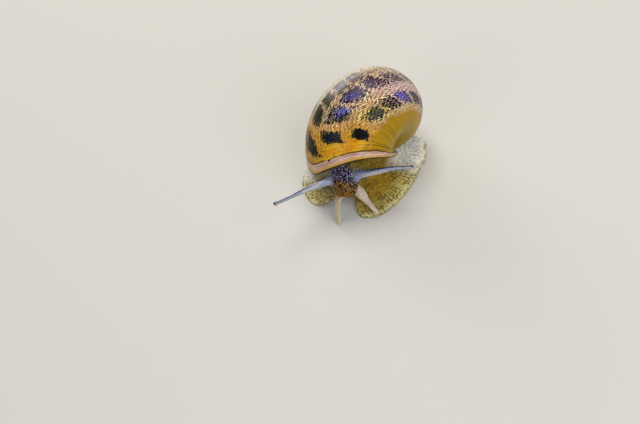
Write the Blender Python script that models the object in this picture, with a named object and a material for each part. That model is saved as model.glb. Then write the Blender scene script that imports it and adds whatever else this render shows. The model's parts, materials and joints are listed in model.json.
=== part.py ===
"""Garden snail, life size, crawling with its feelers out, as a still model in parts.

Run it with: blender --background --python part.py
World axes: -Y is ahead of the snail, +X is its left side, +Z is up, and the sole lies on z = 0.
Everything is worked out in millimetres and brought to metres once, in finish_parts().
"""

import math

import bmesh
import bpy
from mathutils import Matrix, Vector

METRE = 0.001  # one millimetre, in metres
GAP = 0.3  # clearance between two pieces that touch
CURVED_GAP = 1.3 * GAP  # the same beside a curved surface, whose flat facets cut into it
TURN = 2.0 * math.pi
QUARTER_TURN = 0.5 * math.pi
UPWARD = Vector((0.0, 0.0, 1.0))
FAR = 60.0  # past the end of everything, for cutting blocks
MERGE = 0.0001  # points this close are one
SLIVER = 0.002  # edges this short are dissolved after a cut
BISECTIONS = 50  # halvings when a place is searched for
TANGENT_STEP = 0.02  # share of a curve over which its direction is read
SHARP_ANGLE = math.radians(50.0)

# ---- shell: a right-handed spiral in which every whorl is a scaled copy of the next
SHELL_SIZE = 9.56  # radial unit at the lip
WHORL_GROWTH = 1.908  # size of a whorl against the one before it
TUBE_AXIS_RADIUS = 0.904  # the section's centre from the shell's axis, in units
TUBE_HALF_WIDTH = 1.245  # across the axis, in units
TUBE_HALF_HEIGHT = 1.445  # along the axis, in units
TUBE_DROP = 1.75  # the section's centre below the apex, in units
TUBE_LEAN = 0.09  # radians
APEX = Vector((-7.72, 12.13, 12.91))
APEX_AZIMUTH = 2.525  # where the apex points: to the right and back
APEX_RISE = 0.056
SHELL_PHASE = -0.07
WHORLS = 3.0
NAVEL_RADIUS = 0.04  # the closed navel, in units
NAVEL_FILL = 0.3  # how much of the hollow round the navel is filled
NAVEL_FILL_START = math.radians(-85.0)  # angle on the section where the filling begins
NAVEL_FILL_SPAN = math.radians(50.0)
FLARE = 0.05  # the lip turns out by this, in units
FLARE_TURN = 0.2  # over this much growth
APEX_CAP = 0.1  # rise of the smooth cap over the first whorl
STEPS_PER_WHORL = 28
LIP_LEAN = 0.672  # the lip runs forward at the top of the mouth and back at its base
LIP_BOW = 0.178
LIP_EASE = 1.1  # radians of the section over which the lip leaves the suture
LIP_FREE_TOP = 0.8  # radians over which the turned-out lip fades toward the suture
LIP_FREE_NAVEL = 0.5  # and toward the navel
CONTACT_COLUMNS = 4  # facets across the part of a whorl that the next one will cover
FREE_COLUMNS = 22  # facets across the rest
WALL = 0.9
MOUTH_DEPTH = 1.3  # how far back the mouth is open, in radians of growth
MOUTH_STEPS = 9
MOUTH_SIDES = 30
MOUTH_SHIFT = 0.35  # from the section's centre to the mouth's, outward and down, in units
MOUTH_SEARCH = 3.0  # farther than any point of the mouth from its centre, in units
MOUTH_OVERHANG = 0.12  # the hollow runs past the lip by this, in radians of growth
MANTLE_SETBACK = 0.02  # the mantle stops short of the lip by this
SADDLE_DEPTH = 3.2  # the last whorl is drawn in over the neck
SADDLE_REACH = 9.5
SADDLE_CENTRE = Vector((3.4, -12.0, 17.5))
SADDLE_WAY = Vector((0.396, -0.507, 0.766))
SHELL_FLOOR = 1.2  # lowest point of the last whorl, above the ground
SHELL_FLOOR_EASE = 2.5
SHELL_FLOOR_REACH = 9.0  # the shell is lifted only below this height

# ---- foot
SPINE_BACK = -14.0  # the foot spreads out from this stretch of its middle line
SPINE_FRONT = 4.0
RIM_HEIGHT = 0.7
RIM_ROUND = 1.0
RIM_EDGE = 0.25  # height of the thin outer edge
FLANK_HEIGHT = 3.6
FRILL_HEIGHT = 1.5
FRILL_CENTRE = Vector((13.0, -8.0))  # left and ahead
FRILL_REACH = 11.0
FOOT_RINGS = 8
RING_CROWDING = 1.4  # above 1 the rings stand closer toward the rim
FOOT_CORE = 0.2  # the share of the way from the middle line to the rim where the rings start
FOOT_SEGMENTS = 72
FRONT_CUT = 6.5  # how far ahead the front lobes are parted from the sole
TAIL_CUT = -13.0

# The rim of the foot as a person would sketch it: (ahead, left), from the tail's tip round
# the left side, over the two front lobes with the notch between them, and back on the right.
RIM = [
    (-27.5, -1.0),
    (-24.0, 3.4),
    (-18.5, 6.8),
    (-14.0, 10.6),
    (-9.5, 14.6),
    (-3.5, 15.8),
    (3.0, 15.6),
    (9.0, 14.3),
    (13.8, 11.9),
    (16.6, 8.9),
    (16.9, 5.4),
    (14.6, 3.3),
    (11.0, 1.6),
    (10.0, -0.4),
    (11.2, -2.6),
    (14.4, -4.6),
    (16.1, -7.0),
    (15.2, -10.0),
    (12.4, -13.0),
    (8.0, -15.2),
    (4.0, -14.6),
    (-1.0, -11.6),
    (-8.0, -9.4),
    (-16.0, -7.4),
    (-23.5, -4.4),
]

# ---- trunk and head: centre (left, ahead, up), half width, half height
TRUNK = [
    ((0.0, -16.0, 2.4), 3.6, 2.2),
    ((0.0, -11.0, 5.0), 6.4, 4.8),
    ((0.0, -4.0, 8.2), 8.6, 7.4),
    ((0.6, 2.0, 9.8), 8.8, 8.6),
    ((0.6, 6.0, 9.6), 7.0, 7.2),
    ((0.6, 9.0, 9.2), 5.0, 5.2),
    ((1.1, 11.6, 9.1), 3.9, 3.8),
    ((1.8, 13.8, 8.7), 3.5, 3.3),
    ((2.3, 15.4, 7.9), 3.0, 2.9),
    ((2.6, 16.5, 7.2), 1.9, 2.0),
]
HEAD_CUT = (0.5, 10.4, 8.0)  # the head is parted from the neck here (left, ahead, up)
HEAD_CUT_TURN = math.radians(-18.0)
TRUNK_SIDES = 24
TRUNK_STEPS = 26

# ---- feelers: centre line (left, ahead, up) and half width at each point
UPPER_RIGHT = [
    ((-1.2, 12.6, 9.6), 1.25),
    ((-2.6, 15.6, 10.8), 1.0),
    ((-5.6, 19.8, 12.4), 0.72),
    ((-8.4, 24.0, 13.6), 0.48),
    ((-10.6, 27.0, 14.4), 0.42),
]
UPPER_LEFT = [
    ((3.2, 11.8, 9.4), 1.35),
    ((6.0, 11.2, 11.2), 1.15),
    ((10.3, 10.5, 12.6), 0.85),
    ((14.6, 9.3, 13.4), 0.6),
    ((18.6, 8.1, 13.4), 0.45),
]
LOWER_RIGHT = [
    ((0.7, 14.8, 7.2), 1.0),
    ((0.3, 17.2, 5.2), 0.75),
    ((0.3, 19.0, 2.6), 0.6),
    ((0.6, 19.9, 1.0), 0.55),
]
LOWER_LEFT = [
    ((4.1, 13.0, 7.4), 1.15),
    ((5.6, 13.4, 5.6), 1.35),
    ((7.6, 14.4, 3.6), 0.75),
    ((9.6, 15.4, 2.0), 0.55),
]
TIP_RADIUS = 0.62
LOWER_TIP_RADIUS = 0.62
EYE_RADIUS = 0.3
EYE_GAP = 0.1
EYE_DEPTH = 0.08  # the eye's centre lies this far under the tip's surface
EYE_AHEAD = 0.75  # the eye's direction from the middle of the tip
EYE_UP = 0.66
EYE_SEGMENTS = 10
EYE_RINGS = 6
UPPER_SPLITS = (0.36, 0.72)  # where an upper feeler is parted, as shares of its length
LOWER_SPLIT = 0.5
FEELER_SIDES = 12
FEELER_STEPS = 14  # rings along a whole feeler
FEELER_STEPS_LEAST = 3
BULB_RINGS = 5
BULB_CLOSE = 0.9  # the last ring's share of the way to the very end
LENGTH_STEPS = 40

# ---- finishes: colour (linear), roughness
FINISHES = {
    "shell": ((0.42, 0.24, 0.06), 0.25),
    "mantle": ((0.36, 0.27, 0.12), 0.45),
    "foot": ((0.42, 0.36, 0.20), 0.4),
    "head": ((0.20, 0.14, 0.09), 0.4),
    "feeler": ((0.42, 0.38, 0.36), 0.35),
    "eye": ((0.01, 0.01, 0.012), 0.1),
}


# --------------------------------------------------------------------------- small helpers
def at(left, ahead, up):
    """A point from its distances to the snail's left, ahead of it and above the ground."""
    return Vector((left, -ahead, up))


def smooth_step(value):
    """0 below 0, 1 above 1, and an even ease between them."""
    value = min(max(value, 0.0), 1.0)
    return value * value * (3.0 - 2.0 * value)


def spline(points, fraction, closed=False):
    """The point at a fraction of the way along a smooth curve through a list of vectors."""
    spans = len(points) if closed else len(points) - 1
    place = fraction * spans
    span = min(int(place), spans - 1)
    local = place - span

    def knot(index):
        if closed:
            return points[index % len(points)]
        return points[min(max(index, 0), len(points) - 1)]

    a, b, c, d = (knot(span + offset) for offset in (-1, 0, 1, 2))
    cubic = (3.0 * (b - c) + d - a) * local ** 3
    square = (2.0 * a - 5.0 * b + 4.0 * c - d) * local ** 2
    return 0.5 * (2.0 * b + (c - a) * local + square + cubic)


def direction(points, fraction):
    """Which way a smooth curve through a list of vectors runs, at a fraction of its length."""
    after = spline(points, min(fraction + TANGENT_STEP, 1.0))
    return (after - spline(points, max(fraction - TANGENT_STEP, 0.0))).normalized()


def solid(name, points, faces):
    """A closed mesh object from points and faces, its faces turned outward."""
    mesh = bpy.data.meshes.new(name)
    mesh.from_pydata([tuple(p) for p in points], [], faces)
    shape = bmesh.new()
    shape.from_mesh(mesh)
    bmesh.ops.remove_doubles(shape, verts=shape.verts, dist=MERGE)
    bmesh.ops.recalc_face_normals(shape, faces=shape.faces)
    if shape.calc_volume(signed=True) < 0.0:
        bmesh.ops.reverse_faces(shape, faces=shape.faces)
    shape.to_mesh(mesh)
    shape.free()
    piece = bpy.data.objects.new(name, mesh)
    bpy.context.scene.collection.objects.link(piece)
    return piece


def tube(name, rings):
    """A closed tube through rings of points, with a fan over each end."""
    sides = len(rings[0])
    points = [p for ring in rings for p in ring]
    faces = []
    for row in range(len(rings) - 1):
        for side in range(sides):
            near = row * sides
            after = (side + 1) % sides
            faces.append((near + side, near + after, near + sides + after, near + sides + side))
    for ring, first in ((rings[0], 0), (rings[-1], len(points) - sides)):
        centre = len(points)
        points.append(sum(ring, Vector()) / sides)
        faces += [(centre, first + side, first + (side + 1) % sides) for side in range(sides)]
    return solid(name, points, faces)


def boolean(piece, tool, operation):
    """Cuts or intersects a piece with a tool, applies it and removes the tool."""
    change = piece.modifiers.new(operation.lower(), "BOOLEAN")
    change.operation = operation
    change.solver = "EXACT"
    change.object = tool
    shape = bmesh.new()
    shape.from_object(piece, bpy.context.evaluated_depsgraph_get())
    piece.modifiers.clear()
    bmesh.ops.dissolve_degenerate(shape, edges=shape.edges, dist=SLIVER)
    bmesh.ops.triangulate(shape, faces=[f for f in shape.faces if len(f.verts) > 4])
    shape.to_mesh(piece.data)
    shape.free()
    bpy.data.objects.remove(tool)
    return piece


def copy_of(piece, name):
    """A second object with its own copy of a piece's mesh."""
    twin = piece.copy()
    twin.data = piece.data.copy()
    twin.name = name
    bpy.context.scene.collection.objects.link(twin)
    return twin


def block(low, high, turn=0.0, pivot=None):
    """A cutting block between two corners, turned about the vertical through a pivot."""
    low, high = Vector(low), Vector(high)
    shape = bmesh.new()
    bmesh.ops.create_cube(shape, size=1.0)
    bmesh.ops.scale(shape, vec=high - low, verts=shape.verts)
    bmesh.ops.translate(shape, vec=(low + high) / 2.0, verts=shape.verts)
    if turn:
        spin = Matrix.Rotation(turn, 3, "Z")
        bmesh.ops.rotate(shape, cent=pivot, matrix=spin, verts=shape.verts)
    mesh = bpy.data.meshes.new("block")
    shape.to_mesh(mesh)
    shape.free()
    piece = bpy.data.objects.new("block", mesh)
    piece.hide_render = True
    piece.display_type = "WIRE"
    bpy.context.scene.collection.objects.link(piece)
    return piece


# --------------------------------------------------------------------------- the shell
class Spiral:
    """The shell's surface: a leaning oval section that grows as it turns about the axis."""

    def __init__(self, swell=0.0):
        self.half_width = TUBE_HALF_WIDTH + swell
        self.half_height = TUBE_HALF_HEIGHT + swell
        level = math.cos(APEX_RISE)
        up = Vector((level * math.cos(APEX_AZIMUTH), level * math.sin(APEX_AZIMUTH),
                     math.sin(APEX_RISE)))
        flat = UPWARD.cross(up).normalized()
        side = up.cross(flat)
        cosine, sine = math.cos(SHELL_PHASE), math.sin(SHELL_PHASE)
        self.right = flat * cosine + side * sine
        self.front = side * cosine - flat * sine
        self.up = up
        self.upper, self.base = self.suture()
        self.navel = self.navel_angle()

    def section(self, angle, swell=0.0):
        """Distance from the axis and height below the apex, in units, round the oval."""
        wide = (self.half_width + swell) * math.cos(angle)
        high = (self.half_height + swell) * math.sin(angle)
        lean_cos, lean_sin = math.cos(TUBE_LEAN), math.sin(TUBE_LEAN)
        radius = TUBE_AXIS_RADIUS + wide * lean_cos - high * lean_sin
        return radius, wide * lean_sin + high * lean_cos - TUBE_DROP

    def filled_section(self, angle, swell=0.0):
        """The section with the hollow round the navel filled, as in a grown snail."""
        radius, height = self.section(angle, swell)
        past = smooth_step((NAVEL_FILL_START - angle) / NAVEL_FILL_SPAN)
        base = self.section(-QUARTER_TURN, swell)[1]
        return radius, height + (base - height) * NAVEL_FILL * past

    def angle_of(self, radius, height):
        """The oval's angle toward a point, and how far out the point lies (1 is on it)."""
        x, y = radius - TUBE_AXIS_RADIUS, height + TUBE_DROP
        lean_cos, lean_sin = math.cos(TUBE_LEAN), math.sin(TUBE_LEAN)
        wide = (x * lean_cos + y * lean_sin) / self.half_width
        high = (y * lean_cos - x * lean_sin) / self.half_height
        return math.atan2(high, wide), math.hypot(wide, high)

    def suture(self):
        """Where a whorl meets the one before it: the angle on itself and on that one."""
        low, high = math.radians(20.0), math.radians(100.0)
        for _ in range(BISECTIONS):
            middle = (low + high) / 2.0
            radius, height = self.section(middle)
            _, reach = self.angle_of(radius / WHORL_GROWTH, height / WHORL_GROWTH)
            if reach > 1.0:
                high = middle
            else:
                low = middle
        radius, height = self.section(low)
        upper, _ = self.angle_of(radius / WHORL_GROWTH, height / WHORL_GROWTH)
        return upper, low

    def navel_angle(self):
        """The oval's angle, on its underside, where it comes to the shell's axis."""
        low, high = math.radians(-175.0), -QUARTER_TURN
        for _ in range(BISECTIONS):
            middle = (low + high) / 2.0
            if self.section(middle)[0] > NAVEL_RADIUS:
                high = middle
            else:
                low = middle
        return high

    def lip_turn(self, angle):
        """How far the lip, and every growth line, runs ahead of the suture at an angle."""
        if angle >= self.base:
            return 0.0
        bow = LIP_LEAN * math.sin(angle) + LIP_BOW * (math.cos(angle) - 1.0)
        top = LIP_LEAN * math.sin(self.base) + LIP_BOW * (math.cos(self.base) - 1.0)
        ease = smooth_step((self.base - angle) / LIP_EASE)
        return (bow - top * (1.0 - ease)) * ease

    def point(self, turn, angle, swell=0.0):
        """The point at a growth angle (0 at the lip, negative behind it) and oval angle."""
        radius, height = self.filled_section(angle, swell)
        return self.place(turn, radius, height)

    def place(self, turn, radius, height):
        """A point of the section, grown and turned to its place on the shell."""
        size = SHELL_SIZE * WHORL_GROWTH ** (turn / TURN)
        flat = self.right * math.cos(turn) - self.front * math.sin(turn)
        return settle(APEX + size * (radius * flat + height * self.up))


def settle(point):
    """Draws the last whorl in over the neck, and keeps it off the ground."""
    nearness = (point - SADDLE_CENTRE).length_squared / (2.0 * SADDLE_REACH ** 2)
    point = point - SADDLE_WAY * SADDLE_DEPTH * math.exp(-nearness)
    ease = SHELL_FLOOR_EASE
    lifted = SHELL_FLOOR + ease * math.log1p(math.exp((point.z - SHELL_FLOOR) / ease))
    blend = smooth_step((SHELL_FLOOR_REACH - point.z) / SHELL_FLOOR_REACH)
    return Vector((point.x, point.y, point.z + (lifted - point.z) * blend))


class ShellBuilder:
    """Lays the spiral out as rows of growth and columns round the section, and closes it."""

    def __init__(self, swell, ahead):
        self.spiral = Spiral(swell)
        self.ahead = ahead
        self.rows = int(WHORLS * STEPS_PER_WHORL)
        self.last_whorl = self.rows - STEPS_PER_WHORL
        self.edge = CONTACT_COLUMNS + FREE_COLUMNS
        self.angles = self.column_angles()
        self.points, self.faces, self.index = [], [], {}

    def column_angles(self):
        """Angles on the section: over the contact with the next whorl, then on to the navel."""
        upper, base, navel = self.spiral.upper, self.spiral.base, self.spiral.navel
        contact = [upper + (base - upper) * k / CONTACT_COLUMNS for k in range(CONTACT_COLUMNS + 1)]
        free = [base + (navel - base) * k / FREE_COLUMNS for k in range(1, FREE_COLUMNS + 1)]
        return contact + free

    def vertex(self, row, column):
        """The index of the point at a row and column, which is made when it is first asked for."""
        if column == 0 and row >= STEPS_PER_WHORL:
            return self.vertex(row - STEPS_PER_WHORL, CONTACT_COLUMNS)
        if (row, column) not in self.index:
            self.index[(row, column)] = self.add(self.surface_point(row, column))
        return self.index[(row, column)]

    def add(self, point):
        """Stores a point and gives its index."""
        self.points.append(point)
        return len(self.points) - 1

    def surface_point(self, row, column):
        """The shell's surface at a row and column, turned out a little near the lip."""
        angle = self.angles[column]
        behind = (self.rows - row) * TURN / STEPS_PER_WHORL
        flare = FLARE * max(1.0 - behind / FLARE_TURN, 0.0) ** 2 * free_side(self.spiral, angle)
        turn = self.spiral.lip_turn(angle) - behind
        if row == self.rows or (row == self.last_whorl and column >= CONTACT_COLUMNS):
            turn += self.ahead
        return self.spiral.point(turn, angle, flare)

    def add_whorls(self):
        """The outer surface, row by row: early whorls show only what the next leaves free."""
        for row in range(self.rows):
            for column in range(self.edge if row >= self.last_whorl else CONTACT_COLUMNS):
                self.faces.append((self.vertex(row, column), self.vertex(row, column + 1),
                                   self.vertex(row + 1, column + 1), self.vertex(row + 1, column)))

    def add_apex(self):
        """A low cap over the first whorl."""
        rim = [self.vertex(row, 0) for row in range(STEPS_PER_WHORL)]
        rim += [self.vertex(0, column) for column in range(CONTACT_COLUMNS, 0, -1)]
        middle = sum((self.points[k] for k in rim), Vector()) / len(rim)
        apex = self.add(middle + APEX_CAP * self.spiral.up)
        self.faces += [(apex, rim[k], rim[(k + 1) % len(rim)]) for k in range(len(rim))]

    def add_navel_and_mouth(self):
        """The closed navel, and the wall that runs from the lip back to the whorl inside it."""
        height = self.spiral.filled_section(self.spiral.navel)[1]
        navel = self.add(self.spiral.place(-0.5 * TURN, 0.0, height))
        for row in range(self.last_whorl, self.rows):
            self.faces.append((navel, self.vertex(row, self.edge), self.vertex(row + 1, self.edge)))
        columns = range(CONTACT_COLUMNS, self.edge + 1)
        wall = [self.vertex(self.last_whorl, column) for column in columns]
        lip = [self.vertex(self.rows, column) for column in range(self.edge + 1)]
        for step in range(FREE_COLUMNS):
            near = CONTACT_COLUMNS + step
            self.faces.append((wall[step], wall[step + 1], lip[near + 1], lip[near]))
        self.faces += [(wall[0], lip[k], lip[k + 1]) for k in range(1, CONTACT_COLUMNS)]
        self.faces.append((navel, wall[-1], lip[-1]))


def shell_solid(name, swell=0.0, ahead=0.0):
    """The whole shell as one closed solid, its mouth closed from lip to inner wall."""
    builder = ShellBuilder(swell, ahead)
    builder.add_whorls()
    builder.add_apex()
    builder.add_navel_and_mouth()
    return solid(name, builder.points, builder.faces)


def free_side(spiral, angle):
    """1 where the lip stands free, easing to 0 at the suture and at the navel."""
    top = smooth_step((spiral.base - angle) / LIP_FREE_TOP)
    return top * smooth_step((angle - spiral.navel) / LIP_FREE_NAVEL)


def mouth_profile(spiral, inset):
    """The mouth's section in units: inside the oval and clear of the whorl it wraps round.

    Each point is found along a ray from a centre low in the mouth, and comes with its angle on
    the oval.
    """
    centre = Vector((TUBE_AXIS_RADIUS + MOUTH_SHIFT, -TUBE_DROP - MOUTH_SHIFT))
    wide, narrow = 1.0 - inset / TUBE_HALF_WIDTH, 1.0 + inset * WHORL_GROWTH / TUBE_HALF_WIDTH

    def inside(place):
        own = spiral.angle_of(place.x, place.y)[1]
        wrapped = spiral.angle_of(place.x * WHORL_GROWTH, place.y * WHORL_GROWTH)[1]
        return own < wide and wrapped > narrow and place.x > inset

    profile = []
    for side in range(MOUTH_SIDES):
        way = Vector((math.cos(TURN * side / MOUTH_SIDES), math.sin(TURN * side / MOUTH_SIDES)))
        near, far = 0.0, MOUTH_SEARCH
        for _ in range(BISECTIONS):
            middle = (near + far) / 2.0
            near, far = (middle, far) if inside(centre + way * middle) else (near, middle)
        place = centre + way * near
        angle = spiral.angle_of(place.x, place.y)[0]
        profile.append((place, angle - TURN if angle > spiral.upper else angle))
    return profile


def mouth_rings(inset, overhang, first=0):
    """Rings of the tube inside the last whorl, from deep inside to just past the lip."""
    spiral = Spiral()
    profile = mouth_profile(spiral, inset / SHELL_SIZE)
    rings = []
    turns = [-MOUTH_DEPTH * (1.0 - step / MOUTH_STEPS) for step in range(first, MOUTH_STEPS)]
    for along in turns + [overhang]:
        ring = []
        for place, angle in profile:
            wrapped = smooth_step((spiral.navel - angle) / (spiral.navel + TURN - spiral.upper))
            turn = along + spiral.lip_turn(max(angle, spiral.navel)) * (1.0 - wrapped)
            ring.append(spiral.place(turn, place.x, place.y))
        rings.append(ring)
    return rings


def shell():
    """The shell, hollow behind its lip."""
    whole = shell_solid("shell")
    hollow = tube("hollow", mouth_rings(WALL, MOUTH_OVERHANG))
    return boolean(whole, hollow, "DIFFERENCE")


def mantle():
    """The fleshy collar that fills the shell's mouth."""
    return tube("mantle_collar", mouth_rings(WALL + CURVED_GAP, -MANTLE_SETBACK, first=1))


# --------------------------------------------------------------------------- the flesh
def rim_point(fraction):
    """The rim of the foot on the ground, as left and ahead."""
    knots = [Vector((left, ahead)) for ahead, left in RIM]
    return spline(knots, fraction, closed=True)


def foot_column(fraction):
    """Points on the foot's upper side, from near its middle line out to the rim."""
    rim = rim_point(fraction)
    spine = Vector((0.0, min(max(rim.y, SPINE_BACK), SPINE_FRONT)))
    reach = (rim - spine).length
    column = []
    for ring in range(FOOT_RINGS + 1):
        share = 1.0 - (1.0 - FOOT_CORE) * (1.0 - ring / FOOT_RINGS) ** RING_CROWDING
        place = spine + (rim - spine) * share
        from_rim = (1.0 - share) * reach
        rounding = math.sqrt(1.0 - (1.0 - min(from_rim / RIM_ROUND, 1.0)) ** 2)
        slope = smooth_step(from_rim / max(reach, 1.0)) * FLANK_HEIGHT
        up = RIM_EDGE + (RIM_HEIGHT - RIM_EDGE) * rounding + slope
        column.append(at(place.x, place.y, up + frill(place) * share))
    return column


def foot():
    """The foot: a flat sole, a thin rim, and flanks that rise toward the trunk."""
    points, faces = [], []
    for segment in range(FOOT_SEGMENTS):
        column = foot_column(segment / FOOT_SEGMENTS)
        points += column
        points.append(Vector((column[-1].x, column[-1].y, 0.0)))
    stride = FOOT_RINGS + 2
    for segment in range(FOOT_SEGMENTS):
        here, there = segment * stride, (segment + 1) % FOOT_SEGMENTS * stride
        for step in range(stride - 1):
            faces.append((here + step, here + step + 1, there + step + 1, there + step))
    sole = [segment * stride + stride - 1 for segment in range(FOOT_SEGMENTS)]
    crown = [segment * stride for segment in range(FOOT_SEGMENTS)]
    for loop, up in ((sole, 0.0), (crown, points[crown[0]].z)):
        centre = len(points)
        points.append(at(0.0, (SPINE_BACK + SPINE_FRONT) / 2.0, up))
        faces += [(centre, loop[k], loop[(k + 1) % len(loop)]) for k in range(len(loop))]
    return solid("foot", points, faces)


def frill(place):
    """How much the rim is lifted: most at the left side, behind the middle."""
    away = (place - FRILL_CENTRE).length
    return FRILL_HEIGHT * smooth_step(1.0 - away / FRILL_REACH)


def trunk(name, swell=0.0):
    """The trunk, neck and head as one bent body of oval rings."""
    centres = [at(*row[0]) for row in TRUNK]
    sizes = [Vector((row[1] + swell, row[2] + swell)) for row in TRUNK]
    rings = []
    for step in range(TRUNK_STEPS + 1):
        fraction = step / TRUNK_STEPS
        centre = spline(centres, fraction)
        half = spline(sizes, fraction)
        ahead = direction(centres, fraction)
        if step == TRUNK_STEPS:
            centre += ahead * swell
        rings.append(ring_across(centre, ahead, half, TRUNK_SIDES))
    return tube(name, rings)


def feeler_solid(name, line, start, end, bulb=0.0):
    """A stretch of a feeler between two fractions of its centre line, perhaps with a bulb."""
    centres = [at(*row[0]) for row in line]
    widths = [Vector((row[1], row[1])) for row in line]
    steps = max(int(FEELER_STEPS * (end - start)), FEELER_STEPS_LEAST)
    rings = []
    for step in range(steps + 1):
        fraction = start + (end - start) * step / steps
        half = spline(widths, fraction)
        rings.append(ring_across(spline(centres, fraction), direction(centres, fraction), half))
    if bulb:
        rings += bulb_rings(line, bulb)
    return tube(name, rings)


def ring_across(centre, ahead, half, sides=FEELER_SIDES):
    """An oval ring of points square to a direction, from its half width and half height."""
    side = ahead.cross(UPWARD).normalized()
    up = side.cross(ahead)
    turns = [TURN * k / sides for k in range(sides)]
    return [centre + side * half.x * math.cos(t) + up * half.y * math.sin(t) for t in turns]


def bulb_lift(line, bulb):
    """The angle on the round tip of a feeler, behind its middle, where the feeler joins it."""
    return math.acos(min(line[-1][1] / bulb, 1.0))


def bulb_centre(line, bulb):
    """Where the round tip of a feeler has its centre, and which way it points."""
    centres = [at(*row[0]) for row in line]
    ahead = direction(centres, 1.0)
    return centres[-1] + ahead * bulb * math.sin(bulb_lift(line, bulb)), ahead


def bulb_rings(line, bulb):
    """Rings over the round tip of a feeler."""
    centre, ahead = bulb_centre(line, bulb)
    lift = bulb_lift(line, bulb)
    rings = []
    for ring in range(1, BULB_RINGS + 1):
        angle = -lift + (QUARTER_TURN * BULB_CLOSE + lift) * ring / BULB_RINGS
        radius = bulb * math.cos(angle)
        half = Vector((radius, radius))
        rings.append(ring_across(centre + ahead * bulb * math.sin(angle), ahead, half))
    return rings


def ball(name, centre, radius):
    """A small round solid."""
    shape = bmesh.new()
    bmesh.ops.create_uvsphere(shape, u_segments=EYE_SEGMENTS, v_segments=EYE_RINGS, radius=radius)
    bmesh.ops.translate(shape, vec=centre, verts=shape.verts)
    mesh = bpy.data.meshes.new(name)
    shape.to_mesh(mesh)
    shape.free()
    piece = bpy.data.objects.new(name, mesh)
    bpy.context.scene.collection.objects.link(piece)
    return piece


def upper_feeler(side, line):
    """An upper feeler in three lengths, with the eye set in its tip."""
    centre, ahead = bulb_centre(line, TIP_RADIUS)
    up = (UPWARD - ahead * ahead.z).normalized()
    way = (ahead * EYE_AHEAD + up * EYE_UP).normalized()
    eye_at = centre + way * (TIP_RADIUS - EYE_DEPTH)
    gap = GAP / length_of(line)
    first, second = UPPER_SPLITS
    base = feeler_solid(f"upper_feeler_{side}_base", line, 0.0, first)
    base = boolean(base, trunk("clearance", GAP), "DIFFERENCE")
    middle = feeler_solid(f"upper_feeler_{side}_middle", line, first + gap, second)
    tip = feeler_solid(f"upper_feeler_{side}_tip", line, second + gap, 1.0, bulb=TIP_RADIUS)
    tip = boolean(tip, ball("socket", eye_at, EYE_RADIUS + EYE_GAP), "DIFFERENCE")
    return [base, middle, tip, ball(f"eye_{side}", eye_at, EYE_RADIUS)]


def lower_feeler(side, line):
    """A lower feeler in two lengths."""
    gap = GAP / length_of(line)
    base = feeler_solid(f"lower_feeler_{side}_base", line, 0.0, LOWER_SPLIT)
    base = boolean(base, trunk("clearance", GAP), "DIFFERENCE")
    name = f"lower_feeler_{side}_tip"
    tip = feeler_solid(name, line, LOWER_SPLIT + gap, 1.0, bulb=LOWER_TIP_RADIUS)
    return [base, tip]


def length_of(line):
    """Length of a feeler's centre line."""
    centres = [at(*row[0]) for row in line]
    places = [spline(centres, k / LENGTH_STEPS) for k in range(LENGTH_STEPS + 1)]
    return sum((b - a).length for a, b in zip(places, places[1:]))


def clear_of_shell(piece):
    """Cuts a piece of flesh back from the shell and from the mantle in its mouth."""
    ahead = CURVED_GAP / SHELL_SIZE
    piece = boolean(piece, shell_solid("clearance", ahead, ahead), "DIFFERENCE")
    return boolean(piece, tube("clearance", mouth_rings(WALL, 2.0 * ahead)), "DIFFERENCE")


def foot_parts():
    """The foot in four parts, clear of the trunk and the shell."""
    sole = clear_of_shell(boolean(foot(), trunk("clearance", GAP), "DIFFERENCE"))
    half = GAP / 2.0
    parts = []
    for name, low, high in (
        ("tail", (-FAR, -TAIL_CUT + half, -FAR), (FAR, FAR, FAR)),
        ("foot_sole", (-FAR, -FRONT_CUT + half, -FAR), (FAR, -TAIL_CUT - half, FAR)),
        ("foot_front_left", (half, -FAR, -FAR), (FAR, -FRONT_CUT - half, FAR)),
        ("foot_front_right", (-FAR, -FAR, -FAR), (-half, -FRONT_CUT - half, FAR)),
    ):
        parts.append(boolean(copy_of(sole, name), block(low, high), "INTERSECT"))
    bpy.data.objects.remove(sole)
    return parts


def head_and_neck():
    """The trunk, clear of the shell, parted into the head and the neck."""
    body = clear_of_shell(trunk("body"))
    pivot = at(*HEAD_CUT)
    half = GAP / 2.0
    parts = []
    for name, low, high in (
        ("head", (-FAR, -FAR, -FAR), (FAR, pivot.y - half, FAR)),
        ("neck", (-FAR, pivot.y + half, -FAR), (FAR, FAR, FAR)),
    ):
        cutter = block(low, high, HEAD_CUT_TURN, pivot)
        parts.append(boolean(copy_of(body, name), cutter, "INTERSECT"))
    bpy.data.objects.remove(body)
    return parts


# --------------------------------------------------------------------------- finish
def finish_parts(pieces):
    """Brings each piece to metres, shades it smooth and gives it its own material."""
    for piece in pieces:
        kind = "head" if piece.name == "neck" else "foot"
        kind = next((key for key in FINISHES if key in piece.name), kind)
        piece.data.transform(Matrix.Scale(METRE, 4))
        piece.data.shade_smooth()
        piece.data.set_sharp_from_angle(angle=SHARP_ANGLE)
        colour, roughness = FINISHES[kind]
        material = bpy.data.materials.new(piece.name)
        material.use_nodes = True
        shader = material.node_tree.nodes["Principled BSDF"]
        shader.inputs["Base Color"].default_value = (*colour, 1.0)
        shader.inputs["Roughness"].default_value = roughness
        shader.inputs["Metallic"].default_value = 0.0
        piece.data.materials.clear()
        piece.data.materials.append(material)


def main():
    """Builds the snail."""
    for old in list(bpy.data.objects):
        bpy.data.objects.remove(old)
    pieces = [shell(), mantle()]
    pieces += foot_parts()
    pieces += head_and_neck()
    pieces += upper_feeler("right", UPPER_RIGHT)
    pieces += upper_feeler("left", UPPER_LEFT)
    pieces += lower_feeler("right", LOWER_RIGHT)
    pieces += lower_feeler("left", LOWER_LEFT)
    finish_parts(pieces)


main()
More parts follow.
